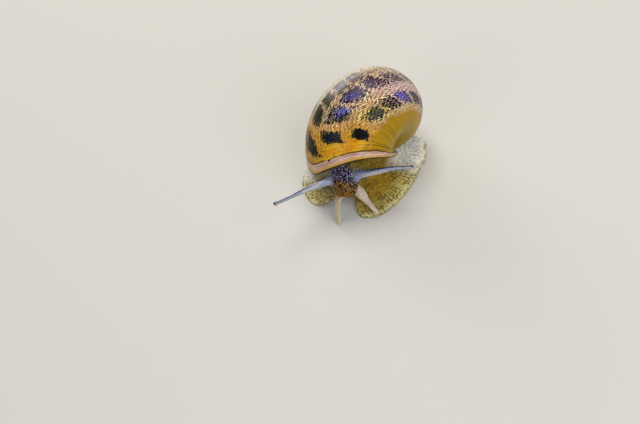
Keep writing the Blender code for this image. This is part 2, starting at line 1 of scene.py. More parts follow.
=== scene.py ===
"""A crawling garden snail at life size: banded shell, grooved foot, granular head, feelers.

World axes: -Y is ahead of the snail, +X is its left side, +Z is up, and the sole lies on z = 0.
Sizes are in millimetres unless a name says otherwise, and MM brings them to metres.
"""

import json
import logging
import math
from contextlib import contextmanager
from dataclasses import dataclass, field
from enum import Enum, IntEnum
from typing import Any, Callable, Iterator

import bpy
import numpy as np
from mathutils import Matrix, Vector, kdtree

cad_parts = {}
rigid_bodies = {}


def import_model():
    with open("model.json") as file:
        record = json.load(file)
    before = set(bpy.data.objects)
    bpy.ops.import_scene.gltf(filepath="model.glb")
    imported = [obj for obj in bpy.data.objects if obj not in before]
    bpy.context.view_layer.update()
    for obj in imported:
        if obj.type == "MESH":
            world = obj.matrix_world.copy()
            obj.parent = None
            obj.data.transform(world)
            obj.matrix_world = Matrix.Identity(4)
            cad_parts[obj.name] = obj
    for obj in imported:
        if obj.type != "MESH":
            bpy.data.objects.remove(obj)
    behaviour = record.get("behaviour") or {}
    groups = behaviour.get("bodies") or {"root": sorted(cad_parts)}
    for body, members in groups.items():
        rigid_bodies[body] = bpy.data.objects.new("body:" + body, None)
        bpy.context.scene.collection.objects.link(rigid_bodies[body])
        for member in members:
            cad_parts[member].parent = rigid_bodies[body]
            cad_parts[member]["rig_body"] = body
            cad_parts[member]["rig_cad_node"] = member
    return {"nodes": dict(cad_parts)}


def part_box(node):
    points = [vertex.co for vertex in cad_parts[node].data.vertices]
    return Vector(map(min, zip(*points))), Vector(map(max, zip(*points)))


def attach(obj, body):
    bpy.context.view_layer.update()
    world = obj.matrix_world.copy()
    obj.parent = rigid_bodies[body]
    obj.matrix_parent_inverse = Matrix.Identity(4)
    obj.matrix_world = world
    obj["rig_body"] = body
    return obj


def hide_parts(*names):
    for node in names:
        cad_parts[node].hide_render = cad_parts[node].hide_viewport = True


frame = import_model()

MM = 0.001
TURN = 2.0 * math.pi
SAME_PLACE = 0.002 * MM  # vertices nearer than this are merged
HASH_SIZE = 65536  # how many random draws the patterns share, a power of two
HASH_PRIMES = (73856093, 19349663, 83492791)  # one for each axis of a cell
CELL_START, CELL_SPREAD = 0.15, 0.7  # where in its cell the middle of a cell may lie
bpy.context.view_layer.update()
Corner = tuple[int, float, float]  # the number of a point, its growth and its section

logging.basicConfig(level=logging.INFO, format="%(message)s")
LOG = logging.getLogger("snail")


class Seed(IntEnum):
    """Which random pattern each detail is drawn from."""

    GROWTH_LINES = 11
    FINE_LINES = 12
    DIMPLES = 13
    FOOT_CELLS = 22
    GRAINS = 23
    SCALLOPS = 24
    RIM_CELLS = 26
    SHADES = 27
    PATCHES = 40  # the first band's; each band after it takes the next number
    BLOTCHES = 61
    CLUMPS = 62
    FRAY = 63


# --------------------------------------------------------------------------- small helpers
def linear(code: str) -> tuple[float, float, float, float]:
    """Turns an sRGB hex code into a linear colour.

    Args:
        code: The colour as "#RRGGBB".

    Returns:
        Linear red, green, blue, and an alpha of 1.
    """
    parts = [int(code[k:k + 2], 16) / 255.0 for k in (1, 3, 5)]
    low = [p / 12.92 if p <= 0.04045 else ((p + 0.055) / 1.055) ** 2.4 for p in parts]
    return (low[0], low[1], low[2], 1.0)


def ease(value: Any) -> Any:
    """0 below 0, 1 above 1, and an even ease between them, for a number or an array."""
    value = np.clip(value, 0.0, 1.0)
    return value * value * (3.0 - 2.0 * value)


def deselect() -> None:
    """Leaves nothing selected and no object in edit mode."""
    if bpy.context.object and bpy.context.object.mode != "OBJECT":
        bpy.ops.object.mode_set(mode="OBJECT")
    bpy.ops.object.select_all(action="DESELECT")


def pick(piece: bpy.types.Object) -> None:
    """Makes one object the only selected and the active one."""
    deselect()
    piece.select_set(True)
    bpy.context.view_layer.objects.active = piece


@contextmanager
def editing() -> Iterator[None]:
    """Edit mode with everything selected, for the operators in the block.

    Yields:
        Nothing; the mode ends with the block.
    """
    bpy.ops.object.mode_set(mode="EDIT")
    bpy.ops.mesh.select_all(action="SELECT")
    yield
    bpy.ops.object.mode_set(mode="OBJECT")


def apply_place() -> None:
    """Puts the active object's place, turn and size into its mesh."""
    bpy.ops.object.transform_apply(location=True, rotation=True, scale=True)


def vectors(piece: bpy.types.Object, kind: str) -> np.ndarray:
    """A vector that each vertex of a piece has, by Blender's name for it, one row each."""
    flat = np.empty(len(piece.data.vertices) * 3)
    piece.data.vertices.foreach_get(kind, flat)
    return flat.reshape(-1, 3)


def places(piece: bpy.types.Object) -> np.ndarray:
    """The vertices of a piece, in metres, one row each."""
    return vectors(piece, "co")


def normals(piece: bpy.types.Object) -> np.ndarray:
    """The vertex normals of a piece, one row each."""
    return vectors(piece, "normal")


def move_to(piece: bpy.types.Object, points: np.ndarray) -> None:
    """Puts the vertices of a piece at new places."""
    piece.data.vertices.foreach_set("co", points.ravel())
    piece.data.update()


def store(piece: bpy.types.Object, name: str, values: np.ndarray) -> None:
    """Stores one number for each vertex of a piece, for its material to read."""
    piece.data.attributes.new(name, "FLOAT", "POINT").data.foreach_set("value", values)


def hashed(cell: np.ndarray, seed: int, count: int) -> np.ndarray:
    """Even random numbers that belong to whole-numbered cells.

    Args:
        cell: Integer cell coordinates, one row each.
        seed: Which set of numbers.
        count: How many numbers for each cell.

    Returns:
        An array of numbers from 0 to 1, one row for each cell.
    """
    table = np.random.default_rng(seed).random((HASH_SIZE, count))
    key = np.zeros(len(cell), dtype=np.int64)
    for axis in range(cell.shape[1]):
        key ^= cell[:, axis] * HASH_PRIMES[axis]
    return table[key & (HASH_SIZE - 1)]


def soft_noise(points: np.ndarray, seed: int) -> np.ndarray:
    """Smooth random heights with features about one unit across.

    Args:
        points: Places, one row each, of two or three numbers.
        seed: Which pattern.

    Returns:
        A number from 0 to 1 for each place.
    """
    base = np.floor(points).astype(np.int64)
    inside = ease(points - base)
    total = np.zeros(len(points))
    for corner in range(2 ** points.shape[1]):
        offset = np.array([(corner >> axis) & 1 for axis in range(points.shape[1])])
        weight = np.prod(np.where(offset == 1, inside, 1.0 - inside), axis=1)
        total += weight * hashed(base + offset, seed, 1)[:, 0]
    return total


def ripple(seed: int, *axes: np.ndarray) -> np.ndarray:
    """Smooth random heights over two scaled coordinates, from 0 to 1."""
    return soft_noise(np.stack(axes, 1), seed)


def cells(points: np.ndarray, seed: int) -> tuple[np.ndarray, np.ndarray]:
    """An irregular pattern of cells about one unit across.

    Args:
        points: Places, one row each, of two or three numbers.
        seed: Which pattern.

    Returns:
        How far each place is from the wall of its cell (0 on the wall), and a random number
        from 0 to 1 that belongs to the cell.
    """
    size = points.shape[1]
    base = np.floor(points).astype(np.int64)
    nearest = np.full(len(points), 9.0)
    second = np.full(len(points), 9.0)
    tag = np.zeros(len(points))
    for corner in range(3 ** size):
        offset = np.array([(corner // 3 ** axis) % 3 - 1 for axis in range(size)])
        draw = hashed(base + offset, seed, size + 1)
        middle = base + offset + CELL_START + CELL_SPREAD * draw[:, :size]
        away = np.linalg.norm(middle - points, axis=1)
        closer = away < nearest
        second = np.where(closer, nearest, np.minimum(second, away))
        tag = np.where(closer, draw[:, size], tag)
        nearest = np.where(closer, away, nearest)
    return second - nearest, tag


@dataclass(frozen=True)
class Bricks:
    """A pattern of long cells in staggered rows that run inward from an edge."""

    seed: int  # which pattern
    wander: float = 1.3  # how far a row strays sideways, in cell widths
    shortest: float = 0.8  # how short the cells of a row may be, as a share of the mean
    spread: float = 0.4  # and how much longer they may be than that
    shift: float = 7.0  # how far a row may be slid along, in cells
    side_groove: float = 0.24  # width of a groove between rows, as a share of a cell
    end_groove: float = 0.13  # and of a groove across a row

    def shape(self, across: np.ndarray, inward: np.ndarray) -> tuple[np.ndarray, np.ndarray]:
        """Works out the cells at each place.

        Args:
            across: Distance along the edge that the rows start from, in cell widths.
            inward: Distance in from that edge, in cell lengths.

        Returns:
            0 in a groove to 1 on a cell, and a random number from 0 to 1 that belongs to the
            cell.
        """
        bend = ripple(self.seed, across * 0.45, inward * 0.5) - 0.5
        across = across + self.wander * bend
        column = np.floor(across).astype(np.int64)
        draw = hashed(column[:, None], self.seed, 2)
        along = inward * (self.shortest + self.spread * draw[:, 1]) + self.shift * draw[:, 0]
        row = np.floor(along).astype(np.int64)
        tag = hashed(np.stack([column, row], 1), self.seed + 1, 1)[:, 0]
        side, end = across - column, along - row
        walls = ease(np.minimum(side, 1.0 - side) / self.side_groove)
        return walls * ease(np.minimum(end, 1.0 - end) / self.end_groove), tag


class Paint:
    """Colour brushed in soft layers onto the corners or vertices of a piece."""

    def __init__(self, count: int, code: str) -> None:
        """Starts with one colour all over.

        Args:
            count: How many corners or vertices there are.
            code: The colour as "#RRGGBB".
        """
        self.colour = np.tile(np.array(linear(code)), (count, 1))

    def over(self, share: np.ndarray, code: str) -> None:
        """Brushes a colour over the others, by a share from 0 to 1 at each place."""
        share = np.clip(share, 0.0, 1.0)[:, None]
        self.colour = self.colour * (1.0 - share) + np.array(linear(code)) * share

    def store(self, mesh: bpy.types.Mesh, name: str, domain: str) -> None:
        """Stores the colours under a name for the material to read."""
        layer = mesh.attributes.new(name, "FLOAT_COLOR", domain)
        layer.data.foreach_set("color", self.colour.ravel())


# --------------------------------------------------------------------------- materials
class Tree:
    """A material's node tree, with the one function that adds to it."""

    def __init__(self, name: str) -> None:
        """Starts a material with only its output and its shader.

        Args:
            name: The material's name.
        """
        self.material = bpy.data.materials.new(name)
        self.material.use_nodes = True
        self.nodes = self.material.node_tree.nodes
        self.links = self.material.node_tree.links
        self.shader = self.nodes["Principled BSDF"]

    def add(self, kind: str, inputs: dict[Any, Any] | None = None, **settings: Any) -> Any:
        """Adds a node with its settings and links.

        Args:
            kind: The node's type, without the words ShaderNode.
            inputs: For each input, by name or number, a value or a socket to link from.
            settings: The node's own properties.

        Returns:
            The new node.
        """
        node = self.nodes.new("ShaderNode" + kind)
        for key, value in settings.items():
            setattr(node, key, value)
        for key, value in (inputs or {}).items():
            if isinstance(value, bpy.types.NodeSocket):
                self.links.new(value, node.inputs[key])
            else:
                node.inputs[key].default_value = value
        return node

    def math(self, operation: str, first: Any, second: Any = 0.0) -> Any:
        """A sum, product or the like of two numbers or sockets, as a socket."""
        return self.add("Math", {0: first, 1: second}, operation=operation).outputs[0]

    def times(self, first: Any, *others: Any) -> Any:
        """The product of several numbers or sockets, as a socket."""
        for other in others:
            first = self.math("MULTIPLY", first, other)
        return first

    def fade(self, value: Any, start: float, end: float) -> Any:
        """A socket that eases from 0 to 1 as a value goes from start to end."""
        inputs = {"Value": value, "From Min": start, "From Max": end}
        node = self.add("MapRange", inputs, interpolation_type="SMOOTHSTEP")
        return node.outputs["Result"]

    def blend(self, share: Any, first: Any, second: Any) -> Any:
        """A socket that mixes two colours by a share."""
        node = self.add("Mix", {0: share, 6: first, 7: second}, data_type="RGBA")
        return node.outputs[2]

    def attribute(self, name: str) -> Any:
        """A socket with the number that a piece stores at each vertex."""
        return self.add("Attribute", attribute_name=name).outputs["Fac"]

    def colour(self, name: str) -> Any:
        """A socket with the colour that a piece stores at each corner or vertex."""
        return self.add("Attribute", attribute_name=name).outputs["Color"]

    def stretch(self, place: Any, along: float, across: float) -> Any:
        """A socket with a place divided by a feature's length along and across."""
        factors = (1.0 / along, 1.0 / across, 1.0)
        return self.add("VectorMath", {0: place, 1: factors}, operation="MULTIPLY").outputs[0]

    def noise(self, place: Any, scale: float, detail: float = 2.0, bend: float = 0.0) -> Any:
        """A socket of smooth noise read at a place."""
        inputs = {"Vector": place, "Scale": scale, "Detail": detail, "Distortion": bend}
        return self.add("TexNoise", inputs).outputs["Fac"]

    def streaks(self, place: Any, along: float, across: float, detail: float = 2.0,
                bend: float = 0.0) -> Any:
        """A socket of smooth noise whose features are so long along and across."""
        return self.noise(self.stretch(place, along, across), 1.0, detail, bend)

    def band(self, value: Any, rise: tuple[float, float], fall: tuple[float, float]) -> Any:
        """A socket that is 1 between two fades of a value and 0 outside them."""
        return self.times(self.fade(value, *rise), self.fade(value, *fall))

    def bump(self, height: Any, depth: float, strength: float = 1.0) -> None:
        """Gives the shader a fine relief.

        Args:
            height: A socket from 0 to 1.
            depth: What 1 stands for, in metres.
            strength: How much of it shows.
        """
        inputs = {"Height": height, "Distance": depth, "Strength": strength}
        self.links.new(self.add("Bump", inputs).outputs[0], self.shader.inputs["Normal"])

    def set(self, **values: Any) -> None:
        """Sets or links the shader's own sockets.

        Args:
            values: For each socket, its name with _ for a space, and a value or a socket.
        """
        for name, value in values.items():
            socket = self.shader.inputs[name.replace("_", " ")]
            if isinstance(value, bpy.types.NodeSocket):
                self.links.new(value, socket)
            else:
                socket.default_value = value


@dataclass(frozen=True)
class GlazedLimeShell:
    """Snail shell: lime laid down in growth lines under a thin horny skin, glossy when wet.

    It reads as a translucent amber glaze over tan, with dark interrupted bands and pale
    scribbles that run with the growth of the shell.
    """

    fleck: str = "#63382A"
    speck: str = "#1A0E08"
    lip: str = "#D9B7A6"
    lip_streak: str = "#B06A48"
    lip_shine: str = "#EFDCD4"
    lip_line_and_shadow: str = "#3E2412"
    # The lip's dark line behind the pale band: partly its own colour, partly painted shadow of the
    # growth step.
    lip_vein: str = "#6E3A44"
    lip_edge: str = "#C29A48"
    # Painted shade: the inside of the mouth, darkened as the shade under the lip.
    inside: str = "#3C2A12"
    zigzag_pitch: float = 0.070  # radians of section, about 0.9 mm from hairpin to hairpin
    zigzag_spacing: float = 0.120  # radians of growth, about 1.9 mm from line to line
    zigzag_wander: float = 2.0  # how far the lines stray, in hairpins
    line_pitch: float = 0.035  # radians of growth between growth lines, about 0.5 mm
    fleck_size: tuple[float, float] = (0.07, 0.04)  # this and the next are growth, section
    speck_size: tuple[float, float] = (0.033, 0.05)
    chip: tuple[float, float] = (-0.148, -0.50)  # where the lip has a chip
    chip_size: tuple[float, float] = (0.022, 0.036)
    lip_start: tuple[float, float] = (-0.146, -0.136)  # growth where the pale lip fades in
    line_rise: tuple[float, float] = (-0.182, -0.160)  # and the dark line behind it, partly painted shadow of the growth step
    line_fall: tuple[float, float] = (-0.134, -0.146)
    vein_rise: tuple[float, float] = (-0.112, -0.106)  # and the fine line along its middle
    vein_fall: tuple[float, float] = (-0.094, -0.100)
    edge_start: tuple[float, float] = (-0.050, -0.036)  # and its golden edge
    mouth_shade_start: tuple[float, float] = (-0.026, -0.010)  # and the mouth, darkened as painted shade

    def scribbles(self, t: Tree, uv: Any, growth: Any, section: Any, scribbled: Any) -> Any:
        """Draws the pale scribbles: ragged zigzag lines whose long strokes run with the growth.

        Args:
            t: The material's tree.
            uv: The socket with growth and section.
            growth: The socket with growth.
            section: The socket with section.
            scribbled: The socket with how many scribbles a place has, from 0 to 1.

        Returns:
            A socket, 1 on a scribble.
        """
        bend = t.streaks(uv, 0.22, 0.16)
        lift = t.streaks(uv, 0.11, 0.09, 1.0)
        turns = t.math("ADD", t.math("DIVIDE", section, self.zigzag_pitch),
                       t.times(bend, self.zigzag_wander))
        stroke = t.times(t.math("PINGPONG", turns, 0.5), 2.0)
        tall = t.times(stroke, t.math("ADD", lift, 0.45))
        level = t.math("ADD", t.math("DIVIDE", growth, self.zigzag_spacing),
                       t.math("ADD", tall, t.times(lift, 0.8)))
        off = t.math("ABSOLUTE", t.math("SUBTRACT", t.math("FRACT", level), 0.5))
        thin = t.times(t.math("SUBTRACT", 1.0, scribbled), 0.27)
        return t.fade(t.math("ADD", off, thin), 0.215, 0.165)

    def whorls(self, t: Tree, uv: Any, scribbled: Any, lines: Any, pale: Any) -> Any:
        """Colours the whorls: ground, growth lines, dark patches, scribbles and specks.

        Args:
            t: The material's tree.
            uv: The socket with growth and section.
            scribbled: The socket with how many scribbles a place has, from 0 to 1.
            lines: The socket with the growth lines.
            pale: The socket that is 1 on a scribble.

        Returns:
            The colour's socket.
        """
        flecks = t.fade(t.streaks(uv, *self.fleck_size), 0.45, 0.57)
        ground = t.blend(t.times(flecks, scribbled, 0.82), t.colour("ground"), linear(self.fleck))
        lined = t.times(t.fade(lines, 0.45, 0.66), t.attribute("lined"))
        ground = t.blend(lined, ground, t.colour("line"))
        patch = t.math("ADD", t.attribute("patch"), t.times(flecks, 0.16))
        colour = t.blend(t.fade(patch, 0.38, 0.50), ground, t.colour("ink"))
        colour = t.blend(pale, colour, t.colour("scribble"))
        specks = t.fade(t.streaks(uv, *self.speck_size, 1.0), 0.60, 0.66)
        return t.blend(t.times(t.attribute("specked"), specks), colour, linear(self.speck))

    def lip_over(self, t: Tree, uv: Any, growth: Any, colour: Any) -> Any:
        """Colours the lip over the whorls: pale and streaked, with dark lines, one of them partly
        painted shadow of the growth step, and one chip, and darkens the mouth as painted shade.

        Args:
            t: The material's tree.
            uv: The socket with growth and section.
            growth: The socket with growth.
            colour: The socket with the whorls' colour.

        Returns:
            The colour's socket.
        """
        edge = t.math("ADD", growth, t.times(t.noise(uv, 6.0, 2.0), 0.03))
        streak = t.fade(t.streaks(uv, 0.018, 0.4), 0.5, 0.6)
        lip = t.blend(t.times(streak, 0.85), linear(self.lip), linear(self.lip_streak))
        shine = t.fade(t.streaks(uv, 0.02, 0.3, 1.0), 0.42, 0.3)
        lip = t.blend(shine, lip, linear(self.lip_shine))
        colour = t.blend(t.fade(edge, *self.lip_start), colour, lip)
        broken = t.streaks(uv, 0.3, 0.22, 3.0)
        # The dark line: partly the lip's own colour, partly painted shadow of the growth step.
        line = t.times(t.band(edge, self.line_rise, self.line_fall), t.fade(broken, 0.30, 0.46))
        colour = t.blend(t.times(line, 0.85), colour, linear(self.lip_line_and_shadow))
        vein = t.times(t.band(edge, self.vein_rise, self.vein_fall), t.fade(broken, 0.56, 0.48))
        colour = t.blend(t.times(vein, 0.7), colour, linear(self.lip_vein))
        colour = t.blend(t.fade(edge, *self.edge_start), colour, linear(self.lip_edge))
        chip = (self.chip[0] / self.chip_size[0], self.chip[1] / self.chip_size[1], 0.0)
        away = t.add("VectorMath", {0: t.stretch(uv, *self.chip_size), 1: chip},
                     operation="DISTANCE").outputs["Value"]
        colour = t.blend(t.fade(away, 1.1, 0.7), colour, linear(self.speck))
        # Painted shade: the mouth darkened behind the lip.
        return t.blend(t.fade(growth, *self.mouth_shade_start), colour, linear(self.inside))

    def make(self) -> bpy.types.Material:
        """Builds the material, which reads growth and section from the piece's UV map.

        Returns:
            The material.
        """
        t = Tree("glazed_lime_shell")
        uv = t.add("UVMap", uv_map="growth").outputs[0]
        split = t.add("SeparateXYZ", {0: uv})
        growth, section = split.outputs[0], split.outputs[1]
        scribbled = t.attribute("scribbled")
        pale = self.scribbles(t, uv, growth, section, scribbled)
        lines = t.streaks(uv, self.line_pitch, 1.2, 2.5)
        colour = self.whorls(t, uv, scribbled, lines, pale)
        smears = t.streaks(uv, 0.16, 0.11, 2.0, 0.4)
        t.set(Base_Color=self.lip_over(t, uv, growth, colour),
              Roughness=t.math("ADD", t.times(smears, 0.2), 0.2), Subsurface_Weight=0.06,
              Subsurface_Scale=0.5 * MM, Coat_Weight=0.06, Coat_Roughness=0.10,
              Specular_IOR_Level=0.15)
        t.shader.inputs["Subsurface Radius"].default_value = (1.0, 0.6, 0.3)
        t.bump(t.math("ADD", t.times(lines, 0.6), t.times(pale, 0.12)), 0.14 * MM, 0.8)
        return t.material


@dataclass(frozen=True)
class MoistSkin:
    """Living snail skin: soft, wet and a little translucent, with slime over fine tubercles.

    It reads as pale raised cells in darker wet grooves on the foot, and as fine pale grains on
    the dark head.
    """

    grain: float = 0.38  # mm between grains; real ones are nearer 0.35, drawn a little coarse
    fine: float = 0.4  # mm across the finest mottling
    broad: float = 2.5  # mm across the broadest

    def make(self) -> bpy.types.Material:
        """Builds the material, which reads the colours and cells stored on the skin.

        Returns:
            The material.
        """
        t = Tree("moist_skin")
        where = t.add("TexCoord").outputs["Object"]
        fine = t.noise(where, 1.0 / (self.fine * MM), 3.0)
        broad = t.noise(where, 1.0 / (self.broad * MM), 2.0)
        inputs = {"Vector": where, "Scale": 1.0 / (self.grain * MM), "Randomness": 0.85}
        grains = t.fade(t.add("TexVoronoi", inputs).outputs["Distance"], 0.52, 0.22)
        granular = t.attribute("granular")
        shown = t.add("Mix", {0: granular, 2: t.attribute("cell"), 3: grains}).outputs[0]
        mottled = t.math("ADD", t.times(t.math("SUBTRACT", fine, 0.5), 0.7), shown)
        share = t.math("ADD", mottled, t.times(t.math("SUBTRACT", broad, 0.5), 0.5))
        colour = t.blend(t.fade(share, 0.1, 0.9), t.colour("groove"), t.colour("raised"))
        t.set(Base_Color=colour, Roughness=t.math("ADD", t.times(fine, 0.3), 0.25),
              Subsurface_Weight=0.2, Subsurface_Scale=0.5 * MM, Coat_Weight=0.10,
              Coat_Roughness=0.12, Specular_IOR_Level=0.14)
        t.shader.inputs["Subsurface Radius"].default_value = (1.0, 0.7, 0.4)
        t.bump(mottled, 0.13 * MM, 0.8)
        return t.material


@dataclass(frozen=True)
class EyeLens:
    """The snail's eye: a bead of black pigment under a clear wet skin, which reads as ink."""

    black: str = "#0A090C"
    bloom: str = "#1A1720"
    cloud: float = 0.2  # mm across the clouding of the black

    def make(self) -> bpy.types.Material:
        """Builds the material.

        Returns:
            The material.
        """
        t = Tree("wet_eye_pigment")
        where = t.add("TexCoord").outputs["Object"]
        clouds = t.noise(where, 1.0 / (self.cloud * MM))
        t.set(Base_Color=t.blend(clouds, linear(self.black), linear(self.bloom)),
              Roughness=0.08, Coat_Weight=0.6, Coat_Roughness=0.03)
        return t.material


@dataclass(frozen=True)
class StudioPaper:
    """Matt pale background paper, which reads as an even pale ground."""

    pale: str = "#C8C7C2"

    def make(self) -> bpy.types.Material:
        """Builds the material.

        Returns:
            The material.
        """
        t = Tree("studio_paper")
        t.set(Base_Color=linear(self.pale), Roughness=0.85)
        return t.material


class Slot(Enum):
    """The material slots of the record, one for each kind of finish."""

    SHELL = "shell"
    FOOT = "foot_skin"
    EYE = "eye"


# --------------------------------------------------------------------------- the shell
@dataclass(frozen=True)
class PatchRow:
    """One interrupted dark band: a row of patches round the shell at a steady section angle."""

    near: float  # section angle at the patch nearest the lip
    far: float  # section angle farther back
    half_width: float  # in section angle
    first: float  # growth angle of the patch nearest the lip
    resume: float  # growth angle where the band starts again behind the amber ring
    pitch: float = 0.36  # growth angle from one patch to the next
    first_half: float = 0.115  # half the length of the first patch, in growth angle
    first_wide: float = 1.0  # width of the first patch as a share of the band's
    slant: float = 0.2  # how much the first patch leans from the growth lines
    skew: float = 0.5  # and its ends from the spiral
    gap: float = 0.27  # how much of the pitch is broken up between two patches
    settle: float = 0.35  # growth angle in which the band goes from near to far

    def strength(self, growth: np.ndarray, section: np.ndarray, seed: int) -> np.ndarray:
        """How dark the row makes each place: over about 0.5 is inside a patch.

        Args:
            growth: Growth angle behind the lip, negative.
            section: Angle round the whorl's section.
            seed: Which irregular edge the patches get.

        Returns:
            The darkness at each place, from 0 to 1.
        """
        ragged = ripple(seed, growth * 30.0, section * 22.0) - 0.5
        loose = ripple(seed + 7, growth * 4.0, section * 3.0) - 0.5
        middle = self.far + (self.near - self.far) * np.exp((growth - self.first) / self.settle)
        off = section - middle + 0.07 * ragged + 0.05 * loose
        across = np.clip(np.abs(off) / self.half_width, 0.0, 3.0)
        ahead = growth - self.first + self.slant * off
        lead = np.clip(np.abs(ahead + 0.04 * ragged) / self.first_half, 0.0, 3.0)
        square = np.clip(np.abs(off + self.skew * ahead)
                         / (self.half_width * self.first_wide), 0.0, 3.0)
        first = 1.0 - 0.5 * np.maximum(square ** 3, lead ** 3)
        cycle = (growth - self.resume + 0.10 * ragged + 0.09 * loose) / self.pitch + 0.5
        gap = np.abs(cycle - np.round(cycle)) * 2.0
        behind = 1.0 - 0.5 * np.maximum(across ** 3, (1.0 + 0.25 * ragged - gap < 0.0) * 1.0)
        break_up = ease((self.gap - np.abs(gap - 1.0)) / 0.25)
        behind = behind * (1.0 - 0.85 * break_up) * ease((self.resume - growth + 0.04) / 0.06)
        return np.clip(np.maximum(first, behind), 0.0, 1.0)


class ShellTint(str, Enum):
    """The colours that growth lays down in the shell, some of the paler ones also standing in for
    painted highlight.
    """

    TAN = "#8E6244"
    ROSE_TAN = "#AC7E64"
    CREAM = "#E2D9C4"
    HONEY = "#CFA455"
    ROSE = "#C2A4A4"
    STRAW = "#CDB27C"
    BUFF = "#C8AC82"
    OCHRE = "#C58C2C"
    AMBER = "#DA960C"
    PALE_AMBER = "#E2B02A"
    DEEP_AMBER = "#C67C0C"
    MUSTARD = "#B48C02"
    OLIVE = "#A08608"
    DULL_GOLD = "#BE9210"
    UMBER = "#472310"
    LINE_AMBER = "#A5620C"
    LINE_OLIVE = "#7C5E04"
    BLACK = "#0F0B07"
    BLUE_BLACK = "#10182C"
    PLUM = "#2A1634"
    BLUE = "#2230A0"
    VIOLET = "#2E2684"
    DARK_PLUM = "#2E1648"
    BROWN_BLACK = "#140D06"
    PALE_VIOLET = "#423EB0"
    GREY_BLACK = "#171515"
    WORN_GREY = "#77717C"
    WORN_BUFF = "#B4A994"
    SPIRE_BROWN = "#50392C"
    SCRIBBLE_CREAM = "#F6DEAE"
    SCRIBBLE_YELLOW = "#F2E05C"
    SCRIBBLE_ROSE = "#D8C0BC"
    SCRIBBLE_OLIVE = "#A89C68"
    SCRIBBLE_WORN = "#DDD0B6"
    SCRIBBLE_AMBER = "#E2B43C"


